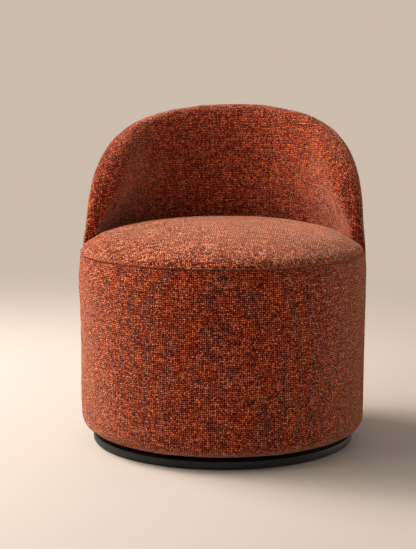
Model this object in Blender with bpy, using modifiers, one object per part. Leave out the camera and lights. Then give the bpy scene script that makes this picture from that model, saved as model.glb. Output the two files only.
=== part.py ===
# An armless swivel chair: a round upholstered drum with a crowned seat, and a low padded back
# wrapped round its rear half. It turns on a ball bearing over a round plinth.
# Metres, +Z up. The front faces -Y, and the origin is on the floor, on the swivel's axis.
# Angles round the chair are measured from the rear, +Y, towards +X.
import math

import bmesh
import bpy
import numpy as np
from mathutils import Matrix, Vector

# Clearance between pieces that touch
GAP = 0.0003

# The drum, and the height of the seam round its seat
SHELL_RADIUS = 0.310
SEAM_Z = 0.4154

# Plinth and glides
GLIDE_HEIGHT = 0.003
GLIDE_RADIUS = 0.010
GLIDE_PIN_RADIUS = 0.0012
GLIDE_PIN_LENGTH = 0.009
GLIDE_INSET = 0.0192
GLIDE_PAIR_ANGLE = math.radians(20.3)
GLIDE_PAIRS = 4
PLINTH_TURN = math.radians(-1.75)
PLINTH_INSET = 0.0263
PLINTH_THICKNESS = 0.015
PLINTH_EDGE = 0.0025
PLINTH_HOLE_RADIUS = 0.014

# Swivel bearing
PLATE_SIDE = 0.200
PLATE_THICKNESS = 0.0025
PLATE_CORNER = 0.018
RACE_RADIUS = 0.060
GROOVE_RADIUS = 0.0054
GROOVE_DEPTH = 0.0012
BALL_RADIUS = 0.0045
BALL_CLEARANCE = 0.0004
BALL_COUNT = 8
CAGE_WIDTH = 0.016
CAGE_THICKNESS = 0.002
PIVOT_RADIUS = 0.005
PIVOT_CLEARANCE = 0.0005
PIVOT_HEAD_RADIUS = 0.0098
PIVOT_HEAD_HEIGHT = 0.006
PIVOT_END = 0.0015
WASHER_RADIUS = 0.012
WASHER_THICKNESS = 0.0016
NUT_HEIGHT = 0.008
SCREW_INSET = 0.020
SCREW_RADIUS = 0.0022
SCREW_CLEARANCE = 0.0004
SCREW_HEAD_RADIUS = 0.0045
SCREW_HEAD_HEIGHT = 0.0022
LOWER_SCREW_LENGTH = 0.012
UPPER_SCREW_LENGTH = 0.018

# Wooden frame
FRAME_INSET = 0.0175
BOARD_THICKNESS = 0.025
BOARD_EDGE_RADIUS = 0.018
BOARD_HOLE_RADIUS = 0.030
RING_DEPTH = 0.0454
RING_THICKNESS = 0.018
RING_WIDTH = 0.060
POST_COUNT = 6
POST_WIDTH = 0.045
POST_DEPTH = 0.030
PANEL_THICKNESS = 0.003
PANEL_OVERHANG = 0.0012
RIB_ANGLES = tuple(math.radians(a) for a in (-56, -28, 0, 28, 56))
RIB_WIDTH = 0.030
RIB_DEPTH = 0.010
HOOP_RADIUS = 0.005
HOOP_INSET = 0.022
HOOP_STEPS = 34
HOOP_NOTCH_CLEARANCE = 0.0005
FOOT_LENGTH = 0.050
FOOT_DEPTH = 0.030
FOOT_THICKNESS = 0.003
STRAP_WIDTH = 0.070
STRAP_THICKNESS = 0.0015
STRAP_SPACING = 0.115
STRAP_END_INSET = 0.0155

# Upholstery
LEAN_START_HEIGHT = 0.002
LEAN_BLEND = 0.040
LEAN_ANGLE = math.radians(3.18)
TAPER_ANGLE = math.radians(0.573)
CORNER_RADIUS = 0.037
HEM_THICKNESS = 0.0065
HEM_WIDTH = 0.022
DUST_COVER_THICKNESS = 0.001
DUST_COVER_MARGIN = 0.008
BAND_STEP = 0.0035
BAND_END_RADIUS = 0.003
BAND_SWELL_DEPTH = 0.005
BAND_SWELL_HEIGHT = 0.045
BAND_SWELL_WIDTH = 0.025
COVER_EDGE = 0.0026
SHELL_END_RADIUS = 0.008
SEAM_GAP = 0.0029
CROWN_HEIGHT = 0.058
CROWN_POWER = 3.0
SEAT_INSET = 0.0010
SEAT_STEP_ANGLE = math.radians(0.3)
PLUG_EDGE = 0.004
WELT_RADIUS = 0.0016
WELT_STEPS = 40
WRAP_ANGLE = math.radians(90.5)
RIM_END_HEIGHT = 0.0112
BACK_HEIGHT = 0.2955
RIM_POWER = 2.2
RIM_LIP_HEIGHT = 0.038
BACK_THICKNESS_AT_SIDES = 0.036
BACK_THICKNESS_AT_TOP = 0.0472
BACK_THICKNESS_AT_SEAT = 0.077
ROLL_RADIUS = 0.0236
COLUMN_STEP = 5

# How far the back leans in and the drum draws in, for each metre of height
LEAN_SLOPE = math.tan(LEAN_ANGLE)
TAPER_SLOPE = math.tan(TAPER_ANGLE)

# Heights that follow from the seam's
RING_TOP_Z = SEAM_Z - RING_DEPTH
LEAN_START_Z = RING_TOP_Z + LEAN_START_HEIGHT
RIM_END_Z = SEAM_Z + RIM_END_HEIGHT
BAND_TOP = SEAM_Z - SEAM_GAP

# Heights that follow from the stack of pieces over the floor
PLINTH_Z = GLIDE_HEIGHT + GAP
PLINTH_TOP = PLINTH_Z + PLINTH_THICKNESS
LOWER_PLATE_Z = PLINTH_TOP + GAP
LOWER_PLATE_TOP = LOWER_PLATE_Z + PLATE_THICKNESS
RACE_GAP = 2 * (BALL_RADIUS + BALL_CLEARANCE - GROOVE_DEPTH)
UPPER_PLATE_Z = LOWER_PLATE_TOP + RACE_GAP
UPPER_PLATE_TOP = UPPER_PLATE_Z + PLATE_THICKNESS
BOARD_Z = UPPER_PLATE_TOP + GAP
BOARD_TOP = BOARD_Z + BOARD_THICKNESS
HEM_Z = BOARD_Z - GAP - HEM_THICKNESS
STRAPS_TOP = RING_TOP_Z + 2 * (GAP + STRAP_THICKNESS)
SEAT_Z = STRAPS_TOP + GAP

# Radii that follow from the drum's
PLINTH_RADIUS = SHELL_RADIUS - PLINTH_INSET
GLIDE_CIRCLE_RADIUS = PLINTH_RADIUS - GLIDE_INSET
FRAME_RADIUS = SHELL_RADIUS - FRAME_INSET
STRAP_END_RADIUS = FRAME_RADIUS - STRAP_END_INSET
PANEL_INNER = FRAME_RADIUS + GAP
PANEL_OUTER = PANEL_INNER + PANEL_THICKNESS
COVER_INNER = PANEL_OUTER + GAP
HOOP_CENTRE = FRAME_RADIUS - HOOP_RADIUS - GAP
HOOP_ANGLE = WRAP_ANGLE - HOOP_INSET / HOOP_CENTRE
PANEL_Z = BOARD_Z + BOARD_EDGE_RADIUS + PANEL_OVERHANG
SLOT_INNER = FRAME_RADIUS - max(2 * HOOP_RADIUS, RIB_DEPTH) - 5 * GAP
HEM_INNER = FRAME_RADIUS - BOARD_EDGE_RADIUS - HEM_WIDTH
CORNER_Z = HEM_Z + CORNER_RADIUS
BEND_LEVELS = (LEAN_START_Z, LEAN_START_Z + LEAN_BLEND / 2, LEAN_START_Z + LEAN_BLEND)
EDGE_STEPS = 3
SEAT_RADIUS = SHELL_RADIUS - BAND_STEP - SEAT_INSET

# Where the rows and columns of the upholstery's surfaces lie, as shares of the shape they follow
BAND_END_COLUMNS = (0.25, 1.0, 3.0)
BAND_ROWS = (1.0, 0.6, 0.3, 0.12, 0.0)
CROWN_ROWS = (0.9985, 0.988, 0.955, 0.89, 0.77, 0.58, 0.32, 0.05)
ROLL_ROWS = (0.05, 0.22, 0.55)
ROLL_LAST_ROW = 0.9
PAD_ROWS = 5
PAD_BOTTOM_POWER = 8

FABRIC = ("chenille_fabric", (0.235, 0.062, 0.026), 0.95, 0.0)
BLACK = ("black_lacquer", (0.012, 0.012, 0.013), 0.45, 0.0)
WOOD = ("plywood", (0.52, 0.36, 0.2), 0.6, 0.0)
BOARD = ("fibreboard", (0.33, 0.22, 0.13), 0.85, 0.0)
STEEL = ("zinc_steel", (0.55, 0.56, 0.58), 0.35, 1.0)
ROD = ("black_steel", (0.03, 0.03, 0.032), 0.4, 1.0)
NYLON = ("nylon", (0.75, 0.74, 0.7), 0.4, 0.0)
WEBBING = ("webbing", (0.05, 0.05, 0.055), 0.9, 0.0)
FELT = ("dark_nylon", (0.02, 0.02, 0.02), 0.6, 0.0)


def clear_scene():
    for obj in list(bpy.data.objects):
        bpy.data.objects.remove(obj, do_unlink=True)


def collection(name):
    found = bpy.data.collections.new(name)
    bpy.context.scene.collection.children.link(found)
    return found


def material(look):
    name, colour, roughness, metallic = look
    found = bpy.data.materials.get(name)
    if found is None:
        found = bpy.data.materials.new(name)
        found.use_nodes = True
        shader = found.node_tree.nodes["Principled BSDF"]
        shader.inputs["Base Color"].default_value = (*colour, 1.0)
        shader.inputs["Roughness"].default_value = roughness
        shader.inputs["Metallic"].default_value = metallic
        found.diffuse_color = (*colour, 1.0)
    return found


def place(name, data, look, smooth_angle=40):
    """An object of the chair with its material, shaded smooth up to an angle between faces."""
    obj = bpy.data.objects.new(name, data)
    PARTS.objects.link(obj)
    data.materials.append(material(look))
    if isinstance(data, bpy.types.Mesh):
        data.shade_smooth()
        data.set_sharp_from_angle(angle=math.radians(smooth_angle))
    return obj


def mesh_of(bm, name):
    mesh = bpy.data.meshes.new(name)
    bm.to_mesh(mesh)
    bm.free()
    return mesh


def cut(obj, tool, operation="DIFFERENCE"):
    """Cuts a tool from the object, or joins it, with the tool kept as a hidden wire."""
    tool.hide_render = True
    tool.display_type = "WIRE"
    modifier = obj.modifiers.new(tool.name, "BOOLEAN")
    modifier.operation = operation
    modifier.object = tool
    modifier.solver = "EXACT"


def cutter(name, bm):
    obj = bpy.data.objects.new(name, mesh_of(bm, name))
    CUTTERS.objects.link(obj)
    return obj


def cylinders(places, radius, low, high, sides):
    """Upright cylinders at several (x, y) places, as one bmesh."""
    bm = bmesh.new()
    for x, y in places:
        middle = Matrix.Translation((x, y, (low + high) / 2))
        bmesh.ops.create_cone(bm, cap_ends=True, segments=sides, radius1=radius,
                              radius2=radius, depth=high - low, matrix=middle)
    return bm


def turned(name, profile, look, steps, closed=True):
    """A profile of (radius, height) points, outer side running down, turned about the axis."""
    bm = bmesh.new()
    verts = [bm.verts.new((r, 0.0, z)) for r, z in profile]
    for first, second in zip(verts, verts[1:]):
        bm.edges.new((first, second))
    if closed:
        bm.edges.new((verts[-1], verts[0]))
    obj = place(name, mesh_of(bm, name), look)
    screw = obj.modifiers.new("turn", "SCREW")
    screw.axis = "Z"
    screw.steps = steps
    screw.render_steps = steps
    screw.use_merge_vertices = True
    screw.merge_threshold = 0.00005
    screw.use_smooth_shade = True
    return obj


def block(name, size, position, look, turn=0.0, tilt=0.0, bevel=0.001):
    """A box with eased edges, its depth along the radius when turned to an angle."""
    bm = bmesh.new()
    bmesh.ops.create_cube(bm, size=1.0)
    bmesh.ops.scale(bm, vec=size, verts=bm.verts)
    obj = place(name, mesh_of(bm, name), look)
    obj.location = position
    obj.rotation_euler = (tilt, 0.0, -turn)
    obj.rotation_mode = "XYZ"
    if bevel:
        ease = obj.modifiers.new("ease", "BEVEL")
        ease.width = bevel
        ease.segments = 1
    return obj


def direction(angle):
    return Vector((math.sin(angle), math.cos(angle), 0.0))


def point(angle, radius, z):
    return direction(angle) * radius + Vector((0.0, 0.0, z))


def loft(name, sections, look):
    """Closed sections of equal length, skinned one to the next, with flat ends. Points that
    coincide are welded, so a section may shrink to a point."""
    bm = bmesh.new()
    rows = [[bm.verts.new(p) for p in section] for section in sections]
    count = len(rows[0])
    for one, other in zip(rows, rows[1:]):
        for i in range(count):
            j = (i + 1) % count
            bm.faces.new((one[i], one[j], other[j], other[i]))
    bm.faces.new(rows[0][::-1])
    bm.faces.new(rows[-1])
    bmesh.ops.remove_doubles(bm, verts=bm.verts, dist=1e-6)
    bmesh.ops.dissolve_degenerate(bm, dist=1e-6, edges=bm.edges)
    bmesh.ops.triangulate(bm, faces=[f for f in bm.faces if len(f.verts) > 4])
    bmesh.ops.recalc_face_normals(bm, faces=bm.faces)
    return place(name, mesh_of(bm, name), look, 50)


def arc(centre, radius, start, end, steps):
    """Points (r, z) on an arc, angles in degrees from the +r direction."""
    turns = [math.radians(start + (end - start) * k / steps) for k in range(steps + 1)]
    return [(centre[0] + radius * math.cos(t), centre[1] + radius * math.sin(t)) for t in turns]


def lean(z):
    """How far the back's layers lean inward at a height, eased in over a short blend."""
    over = z - LEAN_START_Z
    if over <= 0:
        return 0.0
    if over < LEAN_BLEND:
        return LEAN_SLOPE * over * over / (2 * LEAN_BLEND)
    return LEAN_SLOPE * (over - LEAN_BLEND / 2)


def wall_radius(z):
    """The outer face of the drum, drawn in slightly towards the floor."""
    return SHELL_RADIUS - TAPER_SLOPE * max(0.0, LEAN_START_Z - z)


def shell_radius(z):
    """The outer face of the upholstery on the rear half."""
    return wall_radius(z) - lean(z)


def arch(angle, half_angle, rise):
    """Height of an arch over the rear half that springs from the rim's ends."""
    share = min(1.0, abs(angle) / half_angle)
    return RIM_END_Z + rise * (1 - share**RIM_POWER) ** (1 / RIM_POWER)


def arch_angle(turn, half_angle):
    """The angle on an arch at a turn of 0 to pi, which spaces points evenly along it."""
    share = math.cos(turn)
    return -half_angle * math.copysign(abs(share) ** (2 / RIM_POWER), share)


def arch_angles(half_angle, steps):
    return [arch_angle(math.pi * k / steps, half_angle) for k in range(steps + 1)]


def arch_curve(half_angle, rise, radius, steps):
    """The same arch as points (distance round the chair, height)."""
    angles = arch_angles(half_angle, steps)
    return np.array([(radius * a, arch(a, half_angle, rise)) for a in angles])


def rear_columns(end):
    """Angles of the columns over the rear half: at even steps, and closer where the rim falls."""
    even = [math.radians(a) for a in range(0, 76, COLUMN_STEP)]
    steep = [arch_angle(math.radians(t), end) for t in range(150, 181, 5)]
    half = even + steep
    return [-a for a in half[:0:-1]] + half


def front_columns(start):
    """Angles of the columns over the front half, at even steps between two ends."""
    first = math.ceil((math.degrees(start) + 1) / COLUMN_STEP) * COLUMN_STEP
    even = [math.radians(a) for a in range(first, 361 - first, COLUMN_STEP)]
    return [start, *even, 2 * math.pi - start]


RIM_CURVE = arch_curve(WRAP_ANGLE, BACK_HEIGHT, SHELL_RADIUS, 400)
HOOP_CURVE = arch_curve(HOOP_ANGLE, BACK_HEIGHT - HOOP_INSET, HOOP_CENTRE, 200)


def rim_distance(angle, z):
    """Distance to the rim's line, with the back unrolled flat."""
    offset = RIM_CURVE - np.array((SHELL_RADIUS * angle, z))
    return float(np.hypot(offset[:, 0], offset[:, 1]).min())


def quarter(share):
    """Rises from 0 to 1 along a quarter circle."""
    return math.sqrt(max(0.0, 1 - (1 - min(1.0, share)) ** 2))


def wrap_top(angle, half_angle=WRAP_ANGLE):
    """Height of the outer wrap's top edge, which the rim's lip sits on."""
    return arch(angle, half_angle, BACK_HEIGHT - RIM_LIP_HEIGHT) - GAP


def hoop_edge(angle, side):
    """Height of the hoop's upper or lower edge at an angle, or None beside it."""
    across = HOOP_CURVE[:, 0] - HOOP_CENTRE * angle
    near = np.abs(across) < HOOP_RADIUS
    if not near.any():
        return None
    reach = np.sqrt(HOOP_RADIUS**2 - across[near] ** 2)
    heights = HOOP_CURVE[near, 1] + side * reach
    return float(heights.max() if side > 0 else heights.min())


def slot_top(angle):
    """The top of the slot in the back pad that the hoop and the back panel stand in."""
    edge = hoop_edge(angle, 1)
    low = wrap_top(angle) + 2 * GAP
    return low if edge is None else max(low, edge + 5 * GAP)


def back_faces(angle, z):
    """Radii of the back's inner and outer faces, rounded over at the rim."""
    facing = math.cos(min(abs(angle), math.pi / 2)) ** 2
    half = (BACK_THICKNESS_AT_SIDES + (BACK_THICKNESS_AT_TOP - BACK_THICKNESS_AT_SIDES) * facing) / 2
    height = (z - SEAM_Z) / max(0.001, arch(angle, WRAP_ANGLE, BACK_HEIGHT) - SEAM_Z)
    bulge = (BACK_THICKNESS_AT_SEAT - BACK_THICKNESS_AT_TOP) * facing * (1 - min(1.0, max(0.0, height)) ** 2)
    round_over = quarter(rim_distance(angle, z) / ROLL_RADIUS)
    middle = shell_radius(z) - half
    return middle - (half + bulge) * round_over, middle + half * round_over


def seat_top(radius):
    """Height of the crowned seat at a distance from the axis."""
    share = min(1.0, radius / SEAT_RADIUS)
    return SEAM_Z + CROWN_HEIGHT * math.sqrt(max(0.0, 1 - share**CROWN_POWER))


def plinth_assembly():
    turns = [PLINTH_TURN + 2 * math.pi * pair / GLIDE_PAIRS + side * GLIDE_PAIR_ANGLE / 2
             for pair in range(GLIDE_PAIRS) for side in (-1, 1)]
    spots = [direction(math.pi + t) * GLIDE_CIRCLE_RADIUS for t in turns]
    for number, spot in enumerate(spots, 1):
        profile = [(0.0, GLIDE_HEIGHT + GLIDE_PIN_LENGTH),
                   (GLIDE_PIN_RADIUS, GLIDE_HEIGHT), (GLIDE_RADIUS, GLIDE_HEIGHT),
                   (GLIDE_RADIUS, GLIDE_HEIGHT / 2),
                   (GLIDE_RADIUS - GLIDE_HEIGHT / 2, 0.0), (0.0, 0.0)]
        glide = turned(f"floor_glide_{number}", profile, FELT, 12, closed=False)
        glide.location = (spot.x, spot.y, 0.0)

    edge = PLINTH_EDGE
    profile = [(PLINTH_HOLE_RADIUS, PLINTH_TOP), (PLINTH_RADIUS - edge, PLINTH_TOP),
               (PLINTH_RADIUS, PLINTH_TOP - edge), (PLINTH_RADIUS, PLINTH_Z + edge),
               (PLINTH_RADIUS - edge, PLINTH_Z), (PLINTH_HOLE_RADIUS, PLINTH_Z)]
    plinth = turned("plinth_disc", profile, BLACK, 72)
    pins = cylinders([(s.x, s.y) for s in spots], GLIDE_PIN_RADIUS + GAP, PLINTH_Z - GAP,
                     PLINTH_Z + GLIDE_PIN_LENGTH + GAP, 8)
    cut(plinth, cutter("glide_pin_holes", pins))
    screws = cylinders(screw_places(), SCREW_RADIUS + GAP,
                       LOWER_PLATE_TOP - LOWER_SCREW_LENGTH - GAP, PLINTH_TOP + GAP, 8)
    cut(plinth, cutter("lower_screw_holes", screws))


def screw_places():
    half = PLATE_SIDE / 2 - SCREW_INSET
    return [(sx * half, sy * half) for sx, sy in ((1, 1), (-1, 1), (-1, -1), (1, -1))]


def screws(prefix, face_z, length, up):
    """Four wood screws through a plate whose outer face is at face_z, pointing up or down."""
    way = 1 if up else -1
    head = face_z - way * (SCREW_HEAD_HEIGHT + GAP)
    under = face_z - way * GAP
    tip = under + way * length
    crown = SCREW_HEAD_HEIGHT / 2
    profile = [(0.0, head), (SCREW_HEAD_RADIUS - crown, head),
               (SCREW_HEAD_RADIUS, head + way * crown),
               (SCREW_HEAD_RADIUS, under), (SCREW_RADIUS, under),
               (SCREW_RADIUS, tip - way * 2 * SCREW_RADIUS), (0.0, tip)]
    if up:
        profile.reverse()
    for number, (x, y) in enumerate(screw_places(), 1):
        screw = turned(f"{prefix}_{number}", profile, STEEL, 8, closed=False)
        screw.location = (x, y, 0.0)


def plate(name, low, race_face, race_side):
    """A square swivel plate with rounded corners, its race groove in one face."""
    bm = bmesh.new()
    bmesh.ops.create_cube(bm, size=1.0)
    bmesh.ops.scale(bm, vec=(PLATE_SIDE, PLATE_SIDE, PLATE_THICKNESS), verts=bm.verts)
    upright = [e for e in bm.edges if abs(e.verts[0].co.z - e.verts[1].co.z) > PLATE_THICKNESS / 2]
    bmesh.ops.bevel(bm, geom=upright, offset=PLATE_CORNER, segments=4, profile=0.5, affect="EDGES")
    bmesh.ops.translate(bm, vec=(0, 0, low + PLATE_THICKNESS / 2), verts=bm.verts)
    obj = place(name, mesh_of(bm, name), STEEL)

    holes = cylinders(screw_places(), SCREW_RADIUS + SCREW_CLEARANCE, low - GAP,
                      low + PLATE_THICKNESS + GAP, 8)
    cut(obj, cutter(f"{name}_screw_holes", holes))
    centre = cylinders([(0.0, 0.0)], PIVOT_RADIUS + PIVOT_CLEARANCE, low - GAP,
                       low + PLATE_THICKNESS + GAP, 16)
    cut(obj, cutter(f"{name}_pivot_hole", centre))

    centre_z = race_face + race_side * (GROOVE_RADIUS - GROOVE_DEPTH)
    groove = turned(f"{name}_groove", arc((RACE_RADIUS, centre_z), GROOVE_RADIUS, 90, -240, 11),
                    STEEL, 36)
    PARTS.objects.unlink(groove)
    CUTTERS.objects.link(groove)
    cut(obj, groove)
    return obj


def bearing():
    plate("lower_swivel_plate", LOWER_PLATE_Z, LOWER_PLATE_TOP, 1)
    plate("upper_swivel_plate", UPPER_PLATE_Z, UPPER_PLATE_Z, -1)
    screws("lower_plate_screw", LOWER_PLATE_TOP + GAP, LOWER_SCREW_LENGTH, up=False)
    screws("upper_plate_screw", UPPER_PLATE_Z - GAP, UPPER_SCREW_LENGTH, up=True)

    middle = (LOWER_PLATE_TOP + UPPER_PLATE_Z) / 2
    low, high = middle - CAGE_THICKNESS / 2, middle + CAGE_THICKNESS / 2
    inner, outer = RACE_RADIUS - CAGE_WIDTH / 2, RACE_RADIUS + CAGE_WIDTH / 2
    cage = turned("ball_cage", [(inner, high), (outer, high), (outer, low), (inner, low)],
                  NYLON, 32)
    balls = bmesh.new()
    for number in range(BALL_COUNT):
        spot = point(2 * math.pi * number / BALL_COUNT, RACE_RADIUS, middle)
        bmesh.ops.create_icosphere(balls, subdivisions=2, radius=BALL_RADIUS,
                                   matrix=Matrix.Translation(spot))
    cut(cage, cutter("balls", balls), "UNION")

    washer_z = UPPER_PLATE_TOP + GAP
    nut_z = washer_z + WASHER_THICKNESS + GAP
    bolt_end = nut_z + NUT_HEIGHT + PIVOT_END
    hole = PIVOT_RADIUS + GAP
    turned("pivot_washer", [(hole, nut_z - GAP), (WASHER_RADIUS, nut_z - GAP),
                            (WASHER_RADIUS, washer_z), (hole, washer_z)], NYLON, 16)
    head_top = LOWER_PLATE_Z - GAP
    bolt = place("pivot_bolt", mesh_of(cylinders([(0.0, 0.0)], PIVOT_HEAD_RADIUS,
                 head_top - PIVOT_HEAD_HEIGHT, head_top, 6), "pivot_bolt"), STEEL)
    shank = cylinders([(0.0, 0.0)], PIVOT_RADIUS, head_top - PIVOT_HEAD_HEIGHT / 2, bolt_end, 16)
    cut(bolt, cutter("pivot_shank", shank), "UNION")
    nut = place("pivot_nut", mesh_of(cylinders([(0.0, 0.0)], PIVOT_HEAD_RADIUS, nut_z,
                nut_z + NUT_HEIGHT, 6), "pivot_nut"), STEEL)
    bore = cylinders([(0.0, 0.0)], hole, nut_z - GAP, nut_z + NUT_HEIGHT + GAP, 16)
    cut(nut, cutter("pivot_nut_bore", bore))


def flat_reach(width):
    """How far out a flat face of this width may lie inside the frame's round edge."""
    return math.sqrt((FRAME_RADIUS - GAP) ** 2 - (width / 2) ** 2)


def wooden_frame():
    edge_centre = (FRAME_RADIUS - BOARD_EDGE_RADIUS, BOARD_Z + BOARD_EDGE_RADIUS)
    profile = [(BOARD_HOLE_RADIUS, BOARD_TOP), (FRAME_RADIUS, BOARD_TOP),
               *arc(edge_centre, BOARD_EDGE_RADIUS, 0, -90, EDGE_STEPS),
               (BOARD_HOLE_RADIUS, BOARD_Z)]
    board = turned("base_board", profile, WOOD, 72)
    holes = cylinders(screw_places(), SCREW_RADIUS + GAP, BOARD_Z - GAP,
                      UPPER_PLATE_Z + UPPER_SCREW_LENGTH + GAP, 8)
    cut(board, cutter("upper_screw_holes", holes))

    ring_z = RING_TOP_Z - RING_THICKNESS
    face = flat_reach(POST_WIDTH)
    height = ring_z - BOARD_TOP - 2 * GAP
    for number in range(POST_COUNT):
        angle = 2 * math.pi * number / POST_COUNT
        block(f"post_{number + 1}", (POST_WIDTH, POST_DEPTH, height),
              point(angle, face - POST_DEPTH / 2, BOARD_TOP + GAP + height / 2), WOOD, angle)

    inner = FRAME_RADIUS - RING_WIDTH
    ring = turned("seat_ring", [(inner, RING_TOP_Z), (FRAME_RADIUS, RING_TOP_Z),
                                (FRAME_RADIUS, ring_z), (inner, ring_z)], WOOD, 72)
    for side, label in ((-1, "left"), (1, "right")):
        angle = side * HOOP_ANGLE
        radius = HOOP_RADIUS + HOOP_NOTCH_CLEARANCE
        bm = bmesh.new()
        bmesh.ops.create_cube(bm, size=1.0)
        bmesh.ops.scale(bm, vec=(2 * radius, 4 * radius, 2 * RING_THICKNESS), verts=bm.verts)
        slot = cutter(f"hoop_notch_{label}", bm)
        slot.location = point(angle, HOOP_CENTRE + radius, ring_z + RING_THICKNESS / 2)
        slot.rotation_euler = (0.0, 0.0, -angle)
        cut(ring, slot)
        centre = flat_reach(FOOT_LENGTH) - FOOT_DEPTH / 2
        block(f"hoop_foot_{label}", (FOOT_LENGTH, FOOT_DEPTH, FOOT_THICKNESS),
              point(angle, centre, BOARD_TOP + GAP + FOOT_THICKNESS / 2), ROD, angle)


def hoop():
    """A bent rod that stands on the base board and follows the rim inside the back's padding."""
    arch_points = [(a, arch(a, HOOP_ANGLE, BACK_HEIGHT - HOOP_INSET))
                   for a in arch_angles(HOOP_ANGLE, HOOP_STEPS)]
    leg_z = [BOARD_TOP + 2 * GAP + FOOT_THICKNESS, RING_TOP_Z]
    route = [(-HOOP_ANGLE, z) for z in leg_z] + arch_points + [(HOOP_ANGLE, z) for z in leg_z[::-1]]
    curve = bpy.data.curves.new("back_hoop", "CURVE")
    curve.dimensions = "3D"
    curve.bevel_depth = HOOP_RADIUS
    curve.bevel_resolution = 3
    curve.use_fill_caps = True
    spline = curve.splines.new("POLY")
    spline.points.add(len(route) - 1)
    for spot, (angle, z) in zip(spline.points, route):
        spot.co = (*point(angle, HOOP_CENTRE - lean(z), z), 1.0)
    place("back_hoop", curve, ROD)


def ribs():
    low = RING_TOP_Z + GAP
    for number, angle in enumerate(RIB_ANGLES, 1):
        half_turn = RIB_WIDTH / 2 / HOOP_CENTRE
        edges = [hoop_edge(angle + share * half_turn, -1) for share in (-1, -0.5, 0, 0.5, 1)]
        tilt = math.atan(lean(min(edges)) / (min(edges) - low))
        rise = RIB_DEPTH / 2 * math.sin(tilt)
        height = (min(edges) - GAP - low - 2 * rise) / math.cos(tilt)
        foot = point(angle, flat_reach(RIB_WIDTH) - RIB_DEPTH / 2, low + rise)
        up = Vector((0, 0, math.cos(tilt))) - direction(angle) * math.sin(tilt)
        block(f"back_rib_{number}", (RIB_WIDTH, RIB_DEPTH, height), foot + up * height / 2,
              WOOD, angle, tilt)


def panel(name, angles, top, levels):
    """A bent sheet round the frame: a flat grid wrapped to the frame's radius, then thickened."""
    bm = bmesh.new()
    bmesh.ops.create_grid(bm, x_segments=len(angles) - 1, y_segments=len(levels), size=0.5)
    for vert in bm.verts:
        angle = angles[round((vert.co.x + 0.5) * (len(angles) - 1))]
        row = round((vert.co.y + 0.5) * len(levels))
        z = levels[row] if row < len(levels) else top(angle)
        vert.co = point(angle, PANEL_INNER - lean(z), z)
    bmesh.ops.recalc_face_normals(bm, faces=bm.faces)
    obj = place(name, mesh_of(bm, name), BOARD)
    sheet = obj.modifiers.new("sheet", "SOLIDIFY")
    sheet.thickness = PANEL_THICKNESS
    sheet.offset = outward(obj.data)
    return obj


def outward(mesh):
    """1 where the mesh's normals point away from the axis, and -1 where they point to it."""
    face = mesh.polygons[0]
    return 1.0 if face.normal.xy.dot(face.center.xy) > 0 else -1.0


def panels():
    rear_end = WRAP_ANGLE - GAP / PANEL_INNER
    panel("back_panel", rear_columns(rear_end),
          lambda a: slot_top(a) - 3 * GAP if abs(a) < rear_end else RIM_END_Z - GAP,
          (PANEL_Z, *BEND_LEVELS))
    front_end = WRAP_ANGLE + GAP / PANEL_INNER
    panel("front_panel", front_columns(front_end), lambda a: RING_TOP_Z, (PANEL_Z,))


def webbing():
    low = RING_TOP_Z + GAP
    for layer, label in enumerate(("lengthwise", "crosswise")):
        z = low + layer * (STRAP_THICKNESS + GAP) + STRAP_THICKNESS / 2
        for number in (-1, 0, 1):
            across = number * STRAP_SPACING
            edge = abs(across) + STRAP_WIDTH / 2
            length = 2 * math.sqrt(STRAP_END_RADIUS**2 - edge**2)
            size, spot = (STRAP_WIDTH, length, STRAP_THICKNESS), (across, 0.0, z)
            if layer:
                size, spot = (length, STRAP_WIDTH, STRAP_THICKNESS), (0.0, across, z)
            block(f"{label}_strap_{number + 2}", size, spot, WEBBING, bevel=0.0)


def cover_section(angle, outer, inner, outer_levels, inner_levels):
    """A padded cover's section: up its outer face from the hem, and down its inner face. outer
    and inner give the faces' radii at a height, and the last outer level is the top."""
    corner = outer(CORNER_Z) - CORNER_RADIUS
    top = outer_levels[-1]
    outside = [(HEM_INNER, HEM_Z), *arc((corner, CORNER_Z), CORNER_RADIUS, -90, 0, 5)]
    outside += [(outer(z), z) for z in (*outer_levels[:-1], top - COVER_EDGE)]
    outside += [(outer(top) - COVER_EDGE, top)]
    inside = [(inner(z), z) for z in (top, *reversed(inner_levels))]
    edge_centre = (FRAME_RADIUS - BOARD_EDGE_RADIUS, BOARD_Z + BOARD_EDGE_RADIUS)
    inside += [(COVER_INNER, PANEL_Z - GAP), (FRAME_RADIUS + GAP, PANEL_Z - GAP)]
    inside += arc(edge_centre, BOARD_EDGE_RADIUS + GAP, 0, -90, EDGE_STEPS)
    inside += [(HEM_INNER, BOARD_Z - GAP)]
    return [point(angle, r, z) for r, z in outside + inside]


def end_rounding(distance, radius):
    """How far a cover's face turns in towards its vertical end."""
    return radius * (1 - quarter(distance / radius))


def band_radius(z, end):
    """The front band's outer face, which swells away from its seams at the top and the ends."""
    swell = quarter(end / BAND_SWELL_WIDTH) * quarter((BAND_TOP - z) / BAND_SWELL_HEIGHT)
    return wall_radius(z) - BAND_STEP + BAND_SWELL_DEPTH * swell - end_rounding(end, BAND_END_RADIUS)


def front_band():
    start = WRAP_ANGLE + 2 * GAP / SHELL_RADIUS
    columns = front_columns(start)
    near = [start + share * BAND_END_RADIUS / SHELL_RADIUS for share in BAND_END_COLUMNS]
    columns = [start, *near, *columns[1:-1], *[2 * math.pi - a for a in near[::-1]], columns[-1]]
    levels = [BAND_TOP - BAND_SWELL_HEIGHT * share for share in BAND_ROWS]
    sections = []
    for angle in columns:
        end = (min(angle, 2 * math.pi - angle) - start) * SHELL_RADIUS
        sections.append(cover_section(angle, lambda z, e=end: band_radius(z, e),
                                      lambda z: COVER_INNER, levels, ()))
    loft("front_band", sections, FABRIC)


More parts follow.
